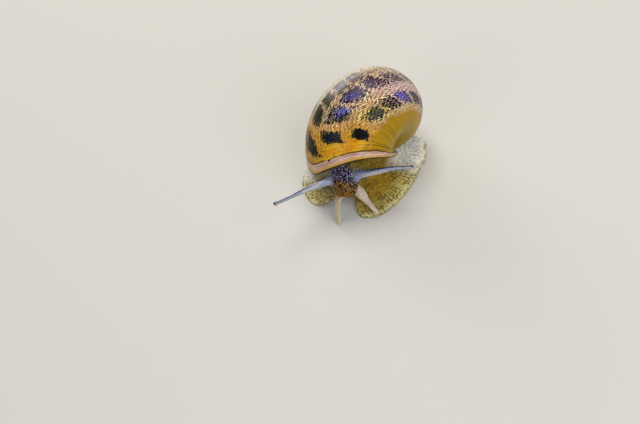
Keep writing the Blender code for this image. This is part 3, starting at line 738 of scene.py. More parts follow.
@dataclass
class ShellPainter:
    """Lays out the shell's colours by growth and section, for the material to draw detail in."""

    growth: np.ndarray  # behind the lip at each corner, negative
    section: np.ndarray  # angle round the whorl's section
    rows: tuple[PatchRow, ...]

    def __post_init__(self) -> None:
        """Works out what several colours share."""
        growth, section = self.growth, self.section
        fray = ripple(Seed.FRAY, growth * 16.0, section * 14.0) - 0.5
        edge = 0.97 + 0.04 * ease((growth + 1.2) / 0.6) + 0.24 * fray
        self.base = ease((-section - edge) / 0.3)
        self.front = ease((growth + 0.62) / 0.3)
        self.spire = ease((-2.1 - growth) / 0.9) * ease((section - 0.1) / 0.3)
        self.blotch = ripple(Seed.BLOTCHES, growth * 7.0, section * 6.0)

    def spot(self, at: float, around: float, long: float, wide: float) -> np.ndarray:
        """A soft round share, 1 at one place of growth and section."""
        return np.exp(-((self.growth - at) / long) ** 2 - ((self.section - around) / wide) ** 2)

    def paint(self, mesh: bpy.types.Mesh) -> None:
        """Stores the colours, and where the dark patches, scribbles and specks lie.

        Args:
            mesh: The shell's mesh.
        """
        growth, section, dark = self.growth, self.section, self.patches()
        for name, colours in (("line", self.lines()), ("ground", self.ground()),
                              ("ink", self.ink()), ("scribble", self.scribbles())):
            colours.store(mesh, name, "CORNER")
        values = {"patch": dark, "scribbled": self.scribbled(dark),
                  "lined": np.clip(self.base * 0.65 + 0.45 * self.front, 0.0, 1.0),
                  "specked": ease((growth + 0.46) / 0.1) * ease((-0.14 - growth) / 0.06)
                  * (0.5 + 0.5 * ease((section + 0.55) / 0.3))}
        for name, value in values.items():
            mesh.attributes.new(name, "FLOAT", "CORNER").data.foreach_set("value", value)

    def patches(self) -> np.ndarray:
        """How dark the bands make each corner, with the bands fainter on the upper side farther back
        from the lip.

        Returns:
            Shares from 0 to 1.
        """
        growth, section = self.growth, self.section
        dark = np.zeros(len(growth))
        for number, row in enumerate(self.rows):
            dark = np.maximum(dark, row.strength(growth, section, Seed.PATCHES + number))
        dark = dark * (1.0 - 0.5 * ease((-1.35 - growth) / 0.5) * ease((section - 0.12) / 0.2)
                       * ease((growth + 2.9) / 0.8))
        return dark * (1.0 - 0.3 * ease((-1.68 - growth) / 0.25) * ease((section + 0.62) / 0.1))

    def lines(self) -> Paint:
        """The colours of the growth lines."""
        line = Paint(len(self.growth), ShellTint.LINE_AMBER)
        line.over(self.base, ShellTint.LINE_OLIVE)
        return line

    def ground(self) -> Paint:
        """The pale and golden ground between the bands.

        Returns:
            Its colours.
        """
        growth, section, blotch = self.growth, self.section, self.blotch
        base, front, spot = self.base, self.front, self.spot
        ground = Paint(len(growth), ShellTint.TAN)
        ground.over(0.6 * ease((blotch - 0.45) / 0.3), ShellTint.ROSE_TAN)
        # The upper side is cream: partly the shell's pale ground, partly painted highlight.
        ground.over(ease((section - 0.16) / 0.35), ShellTint.CREAM)
        ground.over(spot(-1.9, 0.2, 0.2, 0.14), ShellTint.HONEY)
        ground.over(spot(-1.95, -0.55, 0.5, 0.45), ShellTint.ROSE)
        ground.over(spot(-1.55, -1.05, 0.5, 0.2), ShellTint.STRAW)
        ground.over(ease((growth + 0.95) / 0.4), ShellTint.OCHRE)
        ground.over(front, ShellTint.AMBER)
        ground.over(front * ease((blotch - 0.4) / 0.3), ShellTint.PALE_AMBER)
        ground.over(front * ease((0.35 - blotch) / 0.2), ShellTint.DEEP_AMBER)
        ground.over(base, ShellTint.MUSTARD)
        ground.over(base * ease((-section - 1.2) / 0.5) * ease((-growth - 0.7) / 0.8), ShellTint.OLIVE)
        ground.over(front * ease((section + 0.45) / 0.4), ShellTint.DULL_GOLD)
        ground.over(ease((-1.98 - section) / 0.25), ShellTint.UMBER)
        ground.over(0.6 * self.spire * ease((blotch - 0.35) / 0.3), ShellTint.BUFF)
        return ground

    def ink(self) -> Paint:
        """The dark bands, nearly black and tinged with blue and violet, paler on the upper side,
        partly the shell's pale colour and partly painted highlight.

        Returns:
            Their colours.
        """
        growth, section, spot = self.growth, self.section, self.spot
        ink = Paint(len(growth), ShellTint.BLACK)
        ink.over(spot(-0.55, -0.34, 0.09, 0.2), ShellTint.BLUE_BLACK)
        ink.over(ease((-0.95 - growth) / 0.3) * ease((0.25 - section) / 0.3), ShellTint.PLUM)
        ink.over(spot(-1.0, -0.26, 0.09, 0.11), ShellTint.BLUE)
        ink.over(spot(-1.29, -0.17, 0.08, 0.10), ShellTint.VIOLET)
        ink.over(spot(-1.58, -0.12, 0.10, 0.12), ShellTint.DARK_PLUM)
        ink.over(spot(-1.05, -0.82, 0.28, 0.2), ShellTint.BROWN_BLACK)
        ink.over(spot(-1.62, -0.77, 0.12, 0.13), ShellTint.PALE_VIOLET)
        ink.over(ease((section - 0.1) / 0.2), ShellTint.GREY_BLACK)
        # Paler ink on the upper side: partly the shell's paler colour, partly painted highlight.
        ink.over(ease((section - 0.1) / 0.2) * ease((-1.0 - growth) / 0.5), ShellTint.WORN_GREY)
        ink.over(ease((section - 0.42) / 0.2) * ease((-0.75 - growth) / 0.3), ShellTint.WORN_BUFF)
        ink.over(self.spire, ShellTint.SPIRE_BROWN)
        return ink

    def scribbles(self) -> Paint:
        """The pale scribbles over the bands.

        Returns:
            Their colours.
        """
        growth, section, spot = self.growth, self.section, self.spot
        scribble = Paint(len(growth), ShellTint.SCRIBBLE_CREAM)
        scribble.over(spot(-0.95, -0.8, 0.32, 0.25), ShellTint.SCRIBBLE_YELLOW)
        scribble.over(spot(-1.95, -0.5, 0.5, 0.5), ShellTint.SCRIBBLE_ROSE)
        scribble.over(ease((section - 0.05) / 0.3), ShellTint.SCRIBBLE_OLIVE)
        # Paler scribbles on the upper side farther back: partly the shell's paler colour, partly
        # painted highlight.
        pale_and_highlight = ease((section - 0.1) / 0.3) * ease((-1.0 - growth) / 0.4)
        scribble.over(pale_and_highlight, ShellTint.SCRIBBLE_WORN)
        scribble.over(ease((growth + 0.85) / 0.3), ShellTint.SCRIBBLE_AMBER)
        return scribble

    def scribbled(self, dark: np.ndarray) -> np.ndarray:
        """How many scribbles each corner has.

        Args:
            dark: How dark the bands make each corner.

        Returns:
            Shares from 0 to 1.
        """
        growth, section, spot = self.growth, self.section, self.spot
        quiet = 1.0 - ease((growth + 0.5) / 0.12) * (1.0 - 0.8 * ease((section + 0.5) / 0.3))
        first = spot(-0.53, -0.9, 0.13, 0.3) + spot(-0.55, -0.37, 0.11, 0.22)
        first = np.clip(first + spot(-0.44, 0.09, 0.11, 0.22), 0.0, 1.0)
        share = quiet * (1.0 - self.base) * (1.0 - 0.75 * first * ease((dark - 0.4) / 0.3))
        share = share * (1.0 - 0.48 * ease((dark - 0.5) / 0.4))
        clump = ripple(Seed.CLUMPS, growth * 9.0, section * 9.0)
        share = share * (0.7 + 0.3 * ease((clump - 0.2) / 0.5))
        share = share * ease((-0.17 - growth) / 0.1)
        return np.clip(share * (1.0 - 0.3 * spot(-0.94, -0.84, 0.14, 0.13)), 0.0, 1.0)


@dataclass
class Weave:
    """Points and faces gathered before a mesh is made, with growth and section at each corner."""

    turns: list[float]  # growth at each row
    angles: np.ndarray  # section at each column
    points: list[np.ndarray] = field(default_factory=list)
    faces: list[tuple[int, ...]] = field(default_factory=list)
    coords: list[tuple[float, float]] = field(default_factory=list)
    count: int = 0

    def __post_init__(self) -> None:
        """Starts the grid of point numbers, which is -1 where there is no point."""
        self.grid = -np.ones((len(self.turns), len(self.angles)), dtype=np.int64)

    def lay(self, points: np.ndarray) -> np.ndarray:
        """Adds points, one row each, and gives their numbers."""
        self.points.append(points)
        self.count += len(points)
        return np.arange(self.count - len(points), self.count)

    def corner(self, row: int, column: int) -> Corner:
        """The corner at a row and column of the grid."""
        return int(self.grid[row, column]), self.turns[row], float(self.angles[column])

    def face(self, *corners: Corner) -> None:
        """Adds a face."""
        self.faces.append(tuple(corner[0] for corner in corners))
        self.coords.extend(corner[1:] for corner in corners)

    def fan(self, middle: Corner, rim: list[Corner]) -> None:
        """Joins each two neighbours in a row of corners to one in the middle."""
        for here, there in zip(rim, rim[1:]):
            self.face(middle, here, there)


@dataclass
class Shell:
    """The right-handed spiral shell: a leaning oval section that grows as it turns."""

    size: float = 9.56  # mm for each unit of the section at the lip
    growth: float = 1.908  # how much each whorl outgrows the one before
    axis_radius: float = 0.904  # the section's middle from the axis, in units
    half_width: float = 1.245
    half_height: float = 1.445
    drop: float = 1.75  # the section's middle below the apex, in units
    lean: float = 0.09  # radians that the section leans from the axis
    apex: tuple[float, float, float] = (-7.72, 12.13, 12.91)
    apex_azimuth: float = 2.525  # the way the axis points
    apex_rise: float = 0.056
    phase: float = -0.07  # where round the axis the lip ends
    whorls: int = 3
    navel_radius: float = 0.04
    navel_fill: float = 0.3  # how far the hollow round the navel is filled, and where
    navel_fill_start: float = math.radians(-85.0)
    navel_fill_span: float = math.radians(50.0)
    flare: float = 0.05  # how far the lip turns out, and over what turn
    flare_turn: float = 0.2
    apex_cap: float = 0.1
    lip_lean: float = 0.672  # radians that the lip leans ahead over the section
    lip_bow: float = 0.178
    lip_ease: float = 1.1
    wall: float = 0.9
    mouth_depth: float = 1.3  # radians that the open mouth runs back
    mouth_shift: float = 0.35
    saddle_depth: float = 3.2  # how far the last whorl is drawn in over the neck, and where
    saddle_reach: float = 9.5
    saddle_centre: tuple[float, float, float] = (3.4, -12.0, 17.5)
    saddle_way: tuple[float, float, float] = (0.396, -0.507, 0.766)
    floor: float = 1.2  # what lies lower than this is lifted over the foot
    floor_ease: float = 2.5
    floor_reach: float = 9.0
    steps: int = 300  # rows for each whorl, about 0.3 mm apart on the last one
    contact: int = 16  # columns across what the next whorl covers
    free: int = 132  # columns across the rest
    lip_rings: int = 7  # rings over the rolled lip, and how full its roll is
    lip_roll: float = 0.42
    mouth_rings: int = 22  # rings down the mouth, closer together near the lip
    mouth_ring_power: float = 1.3
    lip_end: float = 0.02  # growth where the rolled lip ends, as stored for the colours
    line_relief: float = 0.07  # height of the growth lines
    dimple_relief: float = 0.06  # height of the hammered dimples
    step_relief: float = 0.24  # height of the last growth step, just behind the lip
    bead_relief: float = 0.12  # and of the bead along the lip
    rows: tuple[PatchRow, ...] = (
        PatchRow(-0.87, -0.80, 0.17, -0.50, -0.76, first_half=0.09),
        PatchRow(-0.34, -0.15, 0.23, -0.54, -0.78, 0.36, 0.105, 0.82),
        PatchRow(0.09, 0.33, 0.21, -0.42, -0.69, 0.27),
        PatchRow(0.50, 0.82, 0.14, -0.45, -0.70, 0.27),
        PatchRow(0.95, 1.18, 0.09, -0.45, -0.70, 0.31),
    )

    def __post_init__(self) -> None:
        """Works out the axis, the suture, the navel and the ends of rows and columns."""
        level = math.cos(self.apex_rise)
        self.up = Vector((level * math.cos(self.apex_azimuth),
                          level * math.sin(self.apex_azimuth), math.sin(self.apex_rise)))
        flat = Vector((0.0, 0.0, 1.0)).cross(self.up).normalized()
        side = self.up.cross(flat)
        self.right = flat * math.cos(self.phase) + side * math.sin(self.phase)
        self.front = side * math.cos(self.phase) - flat * math.sin(self.phase)
        self.base = self.search(math.radians(20.0), math.radians(100.0), self.clear_of_last)
        radius, height = self.section(self.base)
        self.upper = float(self.oval(radius / self.growth, height / self.growth)[0])
        self.navel = -self.search(0.5 * math.pi, math.radians(175.0),
                                  lambda a: self.section(-a)[0] < self.navel_radius)
        self.lip_row = self.whorls * self.steps
        self.last_row = self.lip_row - self.steps  # where the last whorl starts
        self.edge = self.contact + self.free  # the column at the navel

    @staticmethod
    def search(low: float, high: float, past: Callable[[float], bool]) -> float:
        """The place between two numbers where a test turns true, by halving.

        Args:
            low: A number where the test is false.
            high: A number where it is true.
            past: The test.

        Returns:
            The number where it turns.
        """
        for _ in range(50):
            middle = (low + high) / 2.0
            low, high = (low, middle) if past(middle) else (middle, high)
        return low

    def clear_of_last(self, angle: float) -> bool:
        """Whether a point of the section lies outside the whorl before it."""
        radius, height = self.section(angle)
        return bool(self.oval(radius / self.growth, height / self.growth)[1] > 1.0)

    def section(self, angle: Any, swell: Any = 0.0) -> tuple[Any, Any]:
        """Places round the oval section.

        Args:
            angle: Angle round the section.
            swell: How far the surface stands out from the oval, in units.

        Returns:
            Distance from the axis, and height below the apex, in units.
        """
        wide = (self.half_width + swell) * np.cos(angle)
        high = (self.half_height + swell) * np.sin(angle)
        radius = self.axis_radius + wide * math.cos(self.lean) - high * math.sin(self.lean)
        return radius, wide * math.sin(self.lean) + high * math.cos(self.lean) - self.drop

    def filled(self, angle: Any, swell: Any = 0.0) -> tuple[Any, Any]:
        """Places round the section with the hollow round the navel filled.

        Args:
            angle: Angle round the section.
            swell: How far the surface stands out from the oval, in units.

        Returns:
            Distance from the axis, and height below the apex, in units.
        """
        radius, height = self.section(angle, swell)
        past = ease((self.navel_fill_start - angle) / self.navel_fill_span)
        base = self.section(-0.5 * math.pi, swell)[1]
        return radius, height + (base - height) * self.navel_fill * past

    def oval(self, radius: Any, height: Any) -> tuple[Any, Any]:
        """Where a point lies against the oval.

        Args:
            radius: Distance from the axis, in units.
            height: Height below the apex, in units.

        Returns:
            The oval's angle toward the point, and how far out it lies (1 is on the oval).
        """
        x, y = radius - self.axis_radius, height + self.drop
        wide = (x * math.cos(self.lean) + y * math.sin(self.lean)) / self.half_width
        high = (y * math.cos(self.lean) - x * math.sin(self.lean)) / self.half_height
        return np.arctan2(high, wide), np.hypot(wide, high)

    def lip_turn(self, angle: np.ndarray) -> np.ndarray:
        """How far the lip, and every growth line, runs ahead of the suture.

        Args:
            angle: Angle round the section.

        Returns:
            The turn at each angle, in radians.
        """
        bow = self.lip_lean * np.sin(angle) + self.lip_bow * (np.cos(angle) - 1.0)
        top = self.lip_lean * math.sin(self.base) + self.lip_bow * (math.cos(self.base) - 1.0)
        away = ease((self.base - angle) / self.lip_ease)
        return (bow - top * (1.0 - away)) * away

    def place(self, turn: np.ndarray, radius: np.ndarray, height: np.ndarray) -> np.ndarray:
        """Grows and turns points of the section to their places.

        Args:
            turn: Turn of each point round the axis from the lip.
            radius: Distance from the axis, in units.
            height: Height below the apex, in units.

        Returns:
            The places, in millimetres.
        """
        size = self.size * self.growth ** (turn / TURN)
        flat = np.outer(np.cos(turn), self.right) - np.outer(np.sin(turn), self.front)
        reach = flat * np.reshape(radius * size, (-1, 1))
        points = np.array(self.apex) + reach + np.outer(height * size, self.up)
        return self.settle(points)

    def settle(self, points: np.ndarray) -> np.ndarray:
        """Draws the last whorl in over the neck, and keeps it off the ground.

        Args:
            points: Places in millimetres.

        Returns:
            The places after that.
        """
        away = np.sum((points - np.array(self.saddle_centre)) ** 2, axis=1)
        pull = self.saddle_depth * np.exp(-away / (2.0 * self.saddle_reach ** 2))
        points = points - np.outer(pull, self.saddle_way)
        up = points[:, 2]
        lifted = self.floor + self.floor_ease * np.logaddexp(0.0, (up - self.floor) / self.floor_ease)
        share = ease((self.floor_reach - up) / self.floor_reach)
        points[:, 2] = up + (lifted - up) * share
        return points

    def free_of_seams(self, angle: Any) -> Any:
        """0 at the suture and the navel, easing to 1 between them."""
        return ease((self.base - angle) / 0.8) * ease((angle - self.navel) / 0.5)

    def relief(self, growth: np.ndarray, angle: np.ndarray) -> np.ndarray:
        """Height of the surface detail, in units of the section.

        Args:
            growth: Growth angle behind the lip, negative.
            angle: Angle round the section.

        Returns:
            How far the surface stands out at each place.
        """
        lines = ripple(Seed.GROWTH_LINES, growth * 20.0, angle * 0.9)
        finer = ripple(Seed.FINE_LINES, growth * 46.0, angle * 1.7)
        dimples = ripple(Seed.DIMPLES, growth * 13.0, angle * 9.0)
        height = self.line_relief * (lines + 0.5 * finer - 0.75)
        height = height + self.dimple_relief * (dimples - 0.5)
        step = ease((-0.115 - growth) / 0.012) * ease((0.5 + growth) / 0.3)
        bead = np.exp(-((growth + 0.03) / 0.04) ** 2)
        raised = self.bead_relief * bead + self.step_relief * step
        return (height + self.free_of_seams(angle) * raised) / self.size

    def mouth_outline(self, loop: np.ndarray) -> np.ndarray:
        """The inner edge of the lip, in units of the section.

        Args:
            loop: The outer edge all round the mouth, as distance from the axis and height.

        Returns:
            For each place on the outer edge, the place inside it where the wall ends.
        """
        centre = np.array([self.axis_radius + self.mouth_shift, -self.drop - self.mouth_shift])
        inset = self.wall / self.size
        wide = 1.0 - inset / self.half_width
        narrow = 1.0 + inset * self.growth / self.half_width
        near, far = np.zeros(len(loop)), np.ones(len(loop))
        for _ in range(30):
            middle = (near + far) / 2.0
            spot = centre + (loop - centre) * middle[:, None]
            own = self.oval(spot[:, 0], spot[:, 1])[1]
            wrapped = self.oval(spot[:, 0] * self.growth, spot[:, 1] * self.growth)[1]
            inside = (own < wide) & (wrapped > narrow) & (spot[:, 0] > inset)
            near, far = np.where(inside, middle, near), np.where(inside, far, middle)
        return centre + (loop - centre) * near[:, None]

    def build(self) -> bpy.types.Object:
        """Builds the shell as one closed mesh, with growth and section in its UV map.

        The surface follows the law of growth, which no modelling operator gives, so its rows
        are worked out and joined directly.

        Returns:
            The shell.
        """
        weave = self.lay_whorls()
        self.close_tip(weave)
        self.run_mouth(weave, self.close_navel(weave))
        return self.finish(weave)

    def lay_whorls(self) -> Weave:
        """Lays the outer surface row by row, each joined to the whorl before it at the suture.

        Returns:
            The points and faces of the outer surface.
        """
        inner = np.linspace(self.upper, self.base, self.contact + 1)
        angles = np.concatenate([inner, np.linspace(self.base, self.navel, self.free + 1)[1:]])
        turns = [(row - self.lip_row) * TURN / self.steps for row in range(self.lip_row + 1)]
        weave = Weave(turns, angles)
        for row, growth in enumerate(turns):
            angle = angles if row >= self.last_row else inner
            turned_out = max(1.0 + growth / self.flare_turn, 0.0) ** 2
            swell = self.flare * turned_out * self.free_of_seams(angle)
            swell = swell + self.relief(np.full(len(angle), growth), angle)
            swell = swell * ease((self.upper - angle) / 0.04) if row < self.steps else swell
            radius, height = self.filled(angle, swell)
            numbers = weave.lay(self.place(self.lip_turn(angle) + growth, radius, height))
            weave.grid[row, :len(angle)] = numbers
            if row >= self.steps:
                weave.grid[row, 0] = weave.grid[row - self.steps, self.contact]
        for row in range(self.lip_row):
            for column in range(self.edge if row >= self.last_row else self.contact):
                weave.face(weave.corner(row, column), weave.corner(row, column + 1),
                           weave.corner(row + 1, column + 1), weave.corner(row + 1, column))
        return weave

    def close_tip(self, weave: Weave) -> None:
        """Closes the tip of the spire.

        Args:
            weave: The points and faces so far.
        """
        rim = [weave.corner(row, 0) for row in range(self.steps)]
        rim += [weave.corner(0, column) for column in range(self.contact, 0, -1)]
        stack = np.concatenate(weave.points)
        middle = np.mean([stack[k[0]] for k in rim], axis=0) + self.apex_cap * np.array(self.up)
        tip = (int(weave.lay(middle[None])[0]), rim[0][1], self.upper)
        weave.fan(tip, rim + rim[:1])

    def close_navel(self, weave: Weave) -> Corner:
        """Closes the last whorl at the axis.

        Args:
            weave: The points and faces so far.

        Returns:
            The corner on the axis.
        """
        turn = -0.5 * TURN
        bottom = float(self.filled(self.navel)[1])
        spot = self.place(np.array([turn]), np.zeros(1), np.array([bottom]))
        navel = (int(weave.lay(spot)[0]), turn, self.navel)
        rows = range(self.last_row, self.lip_row + 1)
        weave.fan(navel, [weave.corner(row, self.edge) for row in rows])
        return navel

    def mouth_rolls(self, loop: np.ndarray) -> list[tuple[np.ndarray, np.ndarray, float]]:
        """The rings that roll the lip over and run the inner wall back into the mouth.

        Args:
            loop: The outer edge all round the mouth, as distance from the axis and height.

        Returns:
            For each ring its outline, the turn of each of its places, and its growth.
        """
        inner = self.mouth_outline(loop)
        thick = np.linalg.norm(loop - inner, axis=1)
        radius = np.maximum((loop[:, 0] + inner[:, 0]) / 2.0, 0.3)
        rings = []
        for step in range(1, self.lip_rings + 1):
            turn = math.pi * step / (self.lip_rings + 1)
            share = 0.5 + 0.5 * math.cos(turn)
            bulge = self.lip_roll * np.minimum(thick, self.wall / self.size) * math.sin(turn) / radius
            rings.append((inner + (loop - inner) * share, bulge, self.lip_end))
        for step in range(self.mouth_rings + 1):
            back = self.mouth_depth * (step / self.mouth_rings) ** self.mouth_ring_power
            deeper = self.lip_end + 0.2 * min(back, 1.0) + 0.06  # growth stands for depth here
            rings.append((inner, np.full(len(inner), -back), deeper))
        return rings

    def run_mouth(self, weave: Weave, navel: Corner) -> None:
        """Adds the rolled lip, the inner wall and the cap that closes the mouth deep inside.

        Args:
            weave: The points and faces so far.
            navel: The corner on the axis.
        """
        angles = weave.angles
        swell = self.flare * self.free_of_seams(angles) + self.relief(np.zeros(len(angles)), angles)
        wrapped = angles[self.contact + 1:][::-1]
        outer = [weave.corner(self.lip_row, column) for column in range(self.edge + 1)] + [navel]
        outer += [weave.corner(self.last_row, column)
                  for column in range(self.edge, self.contact, -1)]
        axis = np.array([[0.0, float(self.filled(angles)[1][-1])]])
        loop = np.concatenate([np.stack(self.filled(angles, swell), 1), axis,
                               np.stack(self.filled(wrapped), 1) / self.growth])
        offsets = np.concatenate([self.lip_turn(angles), self.lip_turn(np.array([self.navel])),
                                  self.lip_turn(wrapped)])
        sections = np.concatenate([angles, [self.navel], wrapped]).tolist()
        before = [(corner[0], 0.0, section) for corner, section in zip(outer, sections)]
        for flat, bulge, growth in self.mouth_rolls(loop):
            numbers = weave.lay(self.place(offsets + bulge, flat[:, 0], flat[:, 1])).tolist()
            now = [(number, growth, section) for number, section in zip(numbers, sections)]
            for k in range(len(now)):
                after = (k + 1) % len(now)
                weave.face(before[k], before[after], now[after], now[k])
            before = now
        end = weave.lay(weave.points[-1].mean(axis=0)[None]).tolist()[0]
        rim = [(number, level, 0.0) for number, level, _ in before]
        weave.fan((end, rim[0][1], 0.0), rim + rim[:1])

    def finish(self, weave: Weave) -> bpy.types.Object:
        """Makes the mesh, closes its seams, turns its faces outward and stores its pattern.

        Args:
            weave: All points and faces.

        Returns:
            The finished piece.
        """
        mesh = bpy.data.meshes.new("shell_whorls")
        mesh.from_pydata((np.concatenate(weave.points) * MM).tolist(), [], weave.faces)
        flat = np.array(weave.coords)
        mesh.uv_layers.new(name="growth").data.foreach_set("uv", flat.ravel())
        ShellPainter(flat[:, 0], flat[:, 1], self.rows).paint(mesh)
        piece = bpy.data.objects.new("shell_whorls", mesh)
        bpy.context.scene.collection.objects.link(piece)
        pick(piece)
        with editing():
            bpy.ops.mesh.remove_doubles(threshold=SAME_PLACE)
            bpy.ops.mesh.delete_loose()
            bpy.ops.mesh.select_all(action="SELECT")
            bpy.ops.mesh.normals_make_consistent(inside=False)
        bpy.ops.object.shade_smooth()
        return piece


# --------------------------------------------------------------------------- the skin
class Flesh(Enum):
    """The skin's colours: in its grooves, and on its raised cells and grains, with some painted shade
    and painted light among them.
    """

    PLAIN = ("#6E5A0A", "#CFC078")
    FLANK_LEFT = ("#6E5408", "#B89630")
    FRONT_LOBE = ("#5E4A06", "#A8903A")
    FLANK_RIGHT = ("#7E6E3C", "#BEB27E")
    TAIL = ("#948A62", "#DCD6BC")
    FRILL_LEFT = ("#C6C5B0", "#F6F7F6")
    FRILL_RIGHT = ("#A8A496", "#D6D4CC")
    # painted shade: the foot under the shell's lip
    UNDER_SHELL = ("#43340F", "#7C6A38")
    RIM_CELLS = ("#8A7A34", "#E0DCB8")
    RIM_EDGE = ("#7E7C22", "#B6AE6A")
    NOTCH = ("#7C5406", "#B8840E")
    # NECK and MANTLE: dark flesh, darkened further as painted shade under the shell's lip
    NECK = ("#241A08", "#5E4A1C")
    MANTLE = ("#20170A", "#54421A")
    NECK_LEFT = ("#6E5A06", "#CDB040")
    HEAD = ("#2A1A08", "#CC9E50")
    MUZZLE = ("#5A3C02", "#B8861C")
    MUZZLE_TIP = ("#8A6204", "#C0901C")
    NAPE = ("#221A3C", "#D2C8DE")
    MOUTH = ("#120A06", "#2A1A10")
    FEELER = ("#94919C", "#CFCDD2")
    FEELER_BACK = ("#727A8E", "#AEB2C2")
    FEELER_LEFT = ("#465474", "#8A98B8")
    FEELER_END = ("#727A92", "#A6AEC0")
    FEELER_ROOT = ("#707A9A", "#B4BCD4")
    STRIPE = ("#2C3450", "#4E5A7C")
    STRIPE_LEFT = ("#10152A", "#232C4A")
    TIP = ("#B08872", "#D8AA88")
    TIP_LEFT = ("#96949C", "#CDCCD2")
    LOWER = ("#A3906C", "#CFC19C")
    LOWER_LEFT = ("#B09A84", "#E2D2C2")
    # painted light: the lower feelers' sides and undersides lightened as if lit through
    LOWER_UNDER = ("#D2C6B0", "#F4EEE2")


class Tones:
    """The two colours of the skin, brushed together."""

    def __init__(self, count: int, tone: Flesh) -> None:
        """Starts with one pair of colours all over.

        Args:
            count: How many vertices there are.
            tone: The pair of colours.
        """
        self.groove, self.raised = (Paint(count, code) for code in tone.value)

    def brush(self, share: np.ndarray, tone: Flesh) -> None:
        """Brushes the grooves and the raised places by the same share."""
        self.groove.over(share, tone.value[0])
        self.raised.over(share, tone.value[1])

    def store(self, mesh: bpy.types.Mesh) -> None:
        """Stores both for the material to read."""
        self.groove.store(mesh, "groove", "POINT")
        self.raised.store(mesh, "raised", "POINT")


@dataclass
class Skin:
    """One soft skin over the foot, neck, head, mantle and feelers."""

    nodes: tuple[str, ...]
    voxel: float = 0.21  # about how far its vertices lie from each other
    triangles: int = 190000  # about how many of them are kept
    swell: float = 0.24  # closes the gaps between the solids while they are fused
    passes: int = 26  # of smoothing
    kinds: tuple[str, ...] = ("foot", "tail", "neck", "head", "mantle", "upper", "lower")
    blending: int = 10  # how often the kinds are averaged where they meet
    mouth_at: tuple[float, float, float] = (2.6, -16.1, 6.5)  # its middle, and its two ways
    mouth_along: tuple[float, float, float] = (0.924, 0.30, -0.24)
    mouth_rise: tuple[float, float, float] = (0.36, -0.49, 0.77)
    mouth_half: float = 1.15  # half the length of the crease, how high and how deep it is
    mouth_height: float = 0.34
    mouth_depth: float = 0.2
    spine_back: float = -14.0  # the foot's middle line, from here to there ahead
    spine_front: float = 4.0
    rim_radius: float = 12.5  # about how far the foot's rim is from that line
    rim_steps: int = 120  # in how many steps round the foot the rim is looked up
    margin_cell: float = 0.46  # the cells along the rim, and how far in they reach
    margin_length: float = 2.2
    cell_width: float = 0.78  # the long cells of the flank
    cell_length: float = 1.6
    cell_height: float = 0.2
    grain: float = 0.62  # the round grains of head and neck
    grain_height: float = 0.1
    fine_height: float = 0.03  # and of the feelers
    labels: dict[str, np.ndarray] = field(default_factory=dict)

    def build(self) -> bpy.types.Object:
        """Fuses the solids of flesh, smooths them and raises their tubercles.

        Returns:
            The skin.
        """
        piece = self.fuse()
        self.label(piece)
        self.soften(piece)
        self.texture(piece)
        self.thin_out(piece)
        return piece

    def thin_out(self, piece: bpy.types.Object) -> None:
        """Collapses the smallest steps, mostly on the sole and inside the shell.

        Args:
            piece: The skin.
        """
        pick(piece)
        bpy.ops.object.modifier_add(type="DECIMATE")
        collapse = piece.modifiers[-1]
        collapse.ratio = self.triangles / (2.0 * len(piece.data.polygons))
        bpy.ops.object.modifier_apply(modifier=collapse.name)
        bpy.ops.object.shade_smooth()

    def copied(self) -> list[bpy.types.Object]:
        """Copies the solids of flesh, free of the frame's own marks.

        Returns:
            The copies.
        """
        copies = []
        for name in self.nodes:
            twin = frame["nodes"][name].copy()
            twin.data = frame["nodes"][name].data.copy()
            twin.parent = None
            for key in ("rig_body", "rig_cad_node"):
                if key in twin:
                    del twin[key]
            bpy.context.scene.collection.objects.link(twin)
            copies.append(twin)
        return copies

    def fuse(self) -> bpy.types.Object:
        """Joins copies of the solids, swells them over their gaps and remeshes them as one.

        Returns:
            The skin, before it is smoothed.
        """
        deselect()
        copies = self.copied()
        for twin in copies:
            twin.select_set(True)
        bpy.context.view_layer.objects.active = copies[0]
        bpy.ops.object.join()
        piece = bpy.context.object
        piece.name = piece.data.name = "body_skin"
        with editing():
            bpy.ops.mesh.remove_doubles(threshold=SAME_PLACE)
            bpy.ops.transform.shrink_fatten(value=self.swell * MM, use_even_offset=False)
        piece.data.remesh_voxel_size = self.voxel * MM
        piece.data.use_remesh_preserve_volume = False
        piece.data.use_remesh_fix_poles = False
        bpy.ops.object.voxel_remesh()
        with editing():
            bpy.ops.transform.shrink_fatten(value=-self.swell * MM, use_even_offset=False)
        piece.data.materials.clear()
        return piece

    def label(self, piece: bpy.types.Object) -> None:
        """Works out, for each vertex, how much it belongs to each kind of flesh.

        Args:
            piece: The skin.
        """
        tree_points, tree_kinds = [], []
        for name in self.nodes:
            kind = next(k for k, word in enumerate(self.kinds) if name.startswith(word))
            mesh = frame["nodes"][name].data
            spots = [tuple(v.co) for v in mesh.vertices] + [tuple(p.center) for p in mesh.polygons]
            tree_points += spots
            tree_kinds += [kind] * len(spots)
        tree = kdtree.KDTree(len(tree_points))
        for number, spot in enumerate(tree_points):
            tree.insert(spot, number)
        tree.balance()
        found = np.array([tree_kinds[tree.find(Vector(p))[1]] for p in places(piece)])
        for number, kind in enumerate(self.kinds):
            share = (found == number).astype(float)
            self.labels[kind] = self.spread(piece, share, self.blending)

    @staticmethod
    def spread(piece: bpy.types.Object, values: np.ndarray, times: int) -> np.ndarray:
        """Averages a value with its neighbours' along the edges.

        Args:
            piece: The piece whose edges are followed.
            values: A value for each vertex.
            times: How often it is averaged.

        Returns:
            The smoother values.
        """
        ends = np.empty(len(piece.data.edges) * 2, dtype=np.int64)
        piece.data.edges.foreach_get("vertices", ends)
        first, second = ends[::2], ends[1::2]
        links = np.bincount(ends, minlength=len(values))
        for _ in range(times):
            total = np.bincount(first, values[second], len(values))
            total += np.bincount(second, values[first], len(values))
            values = 0.5 * values + 0.5 * total / np.maximum(links, 1)
        return values

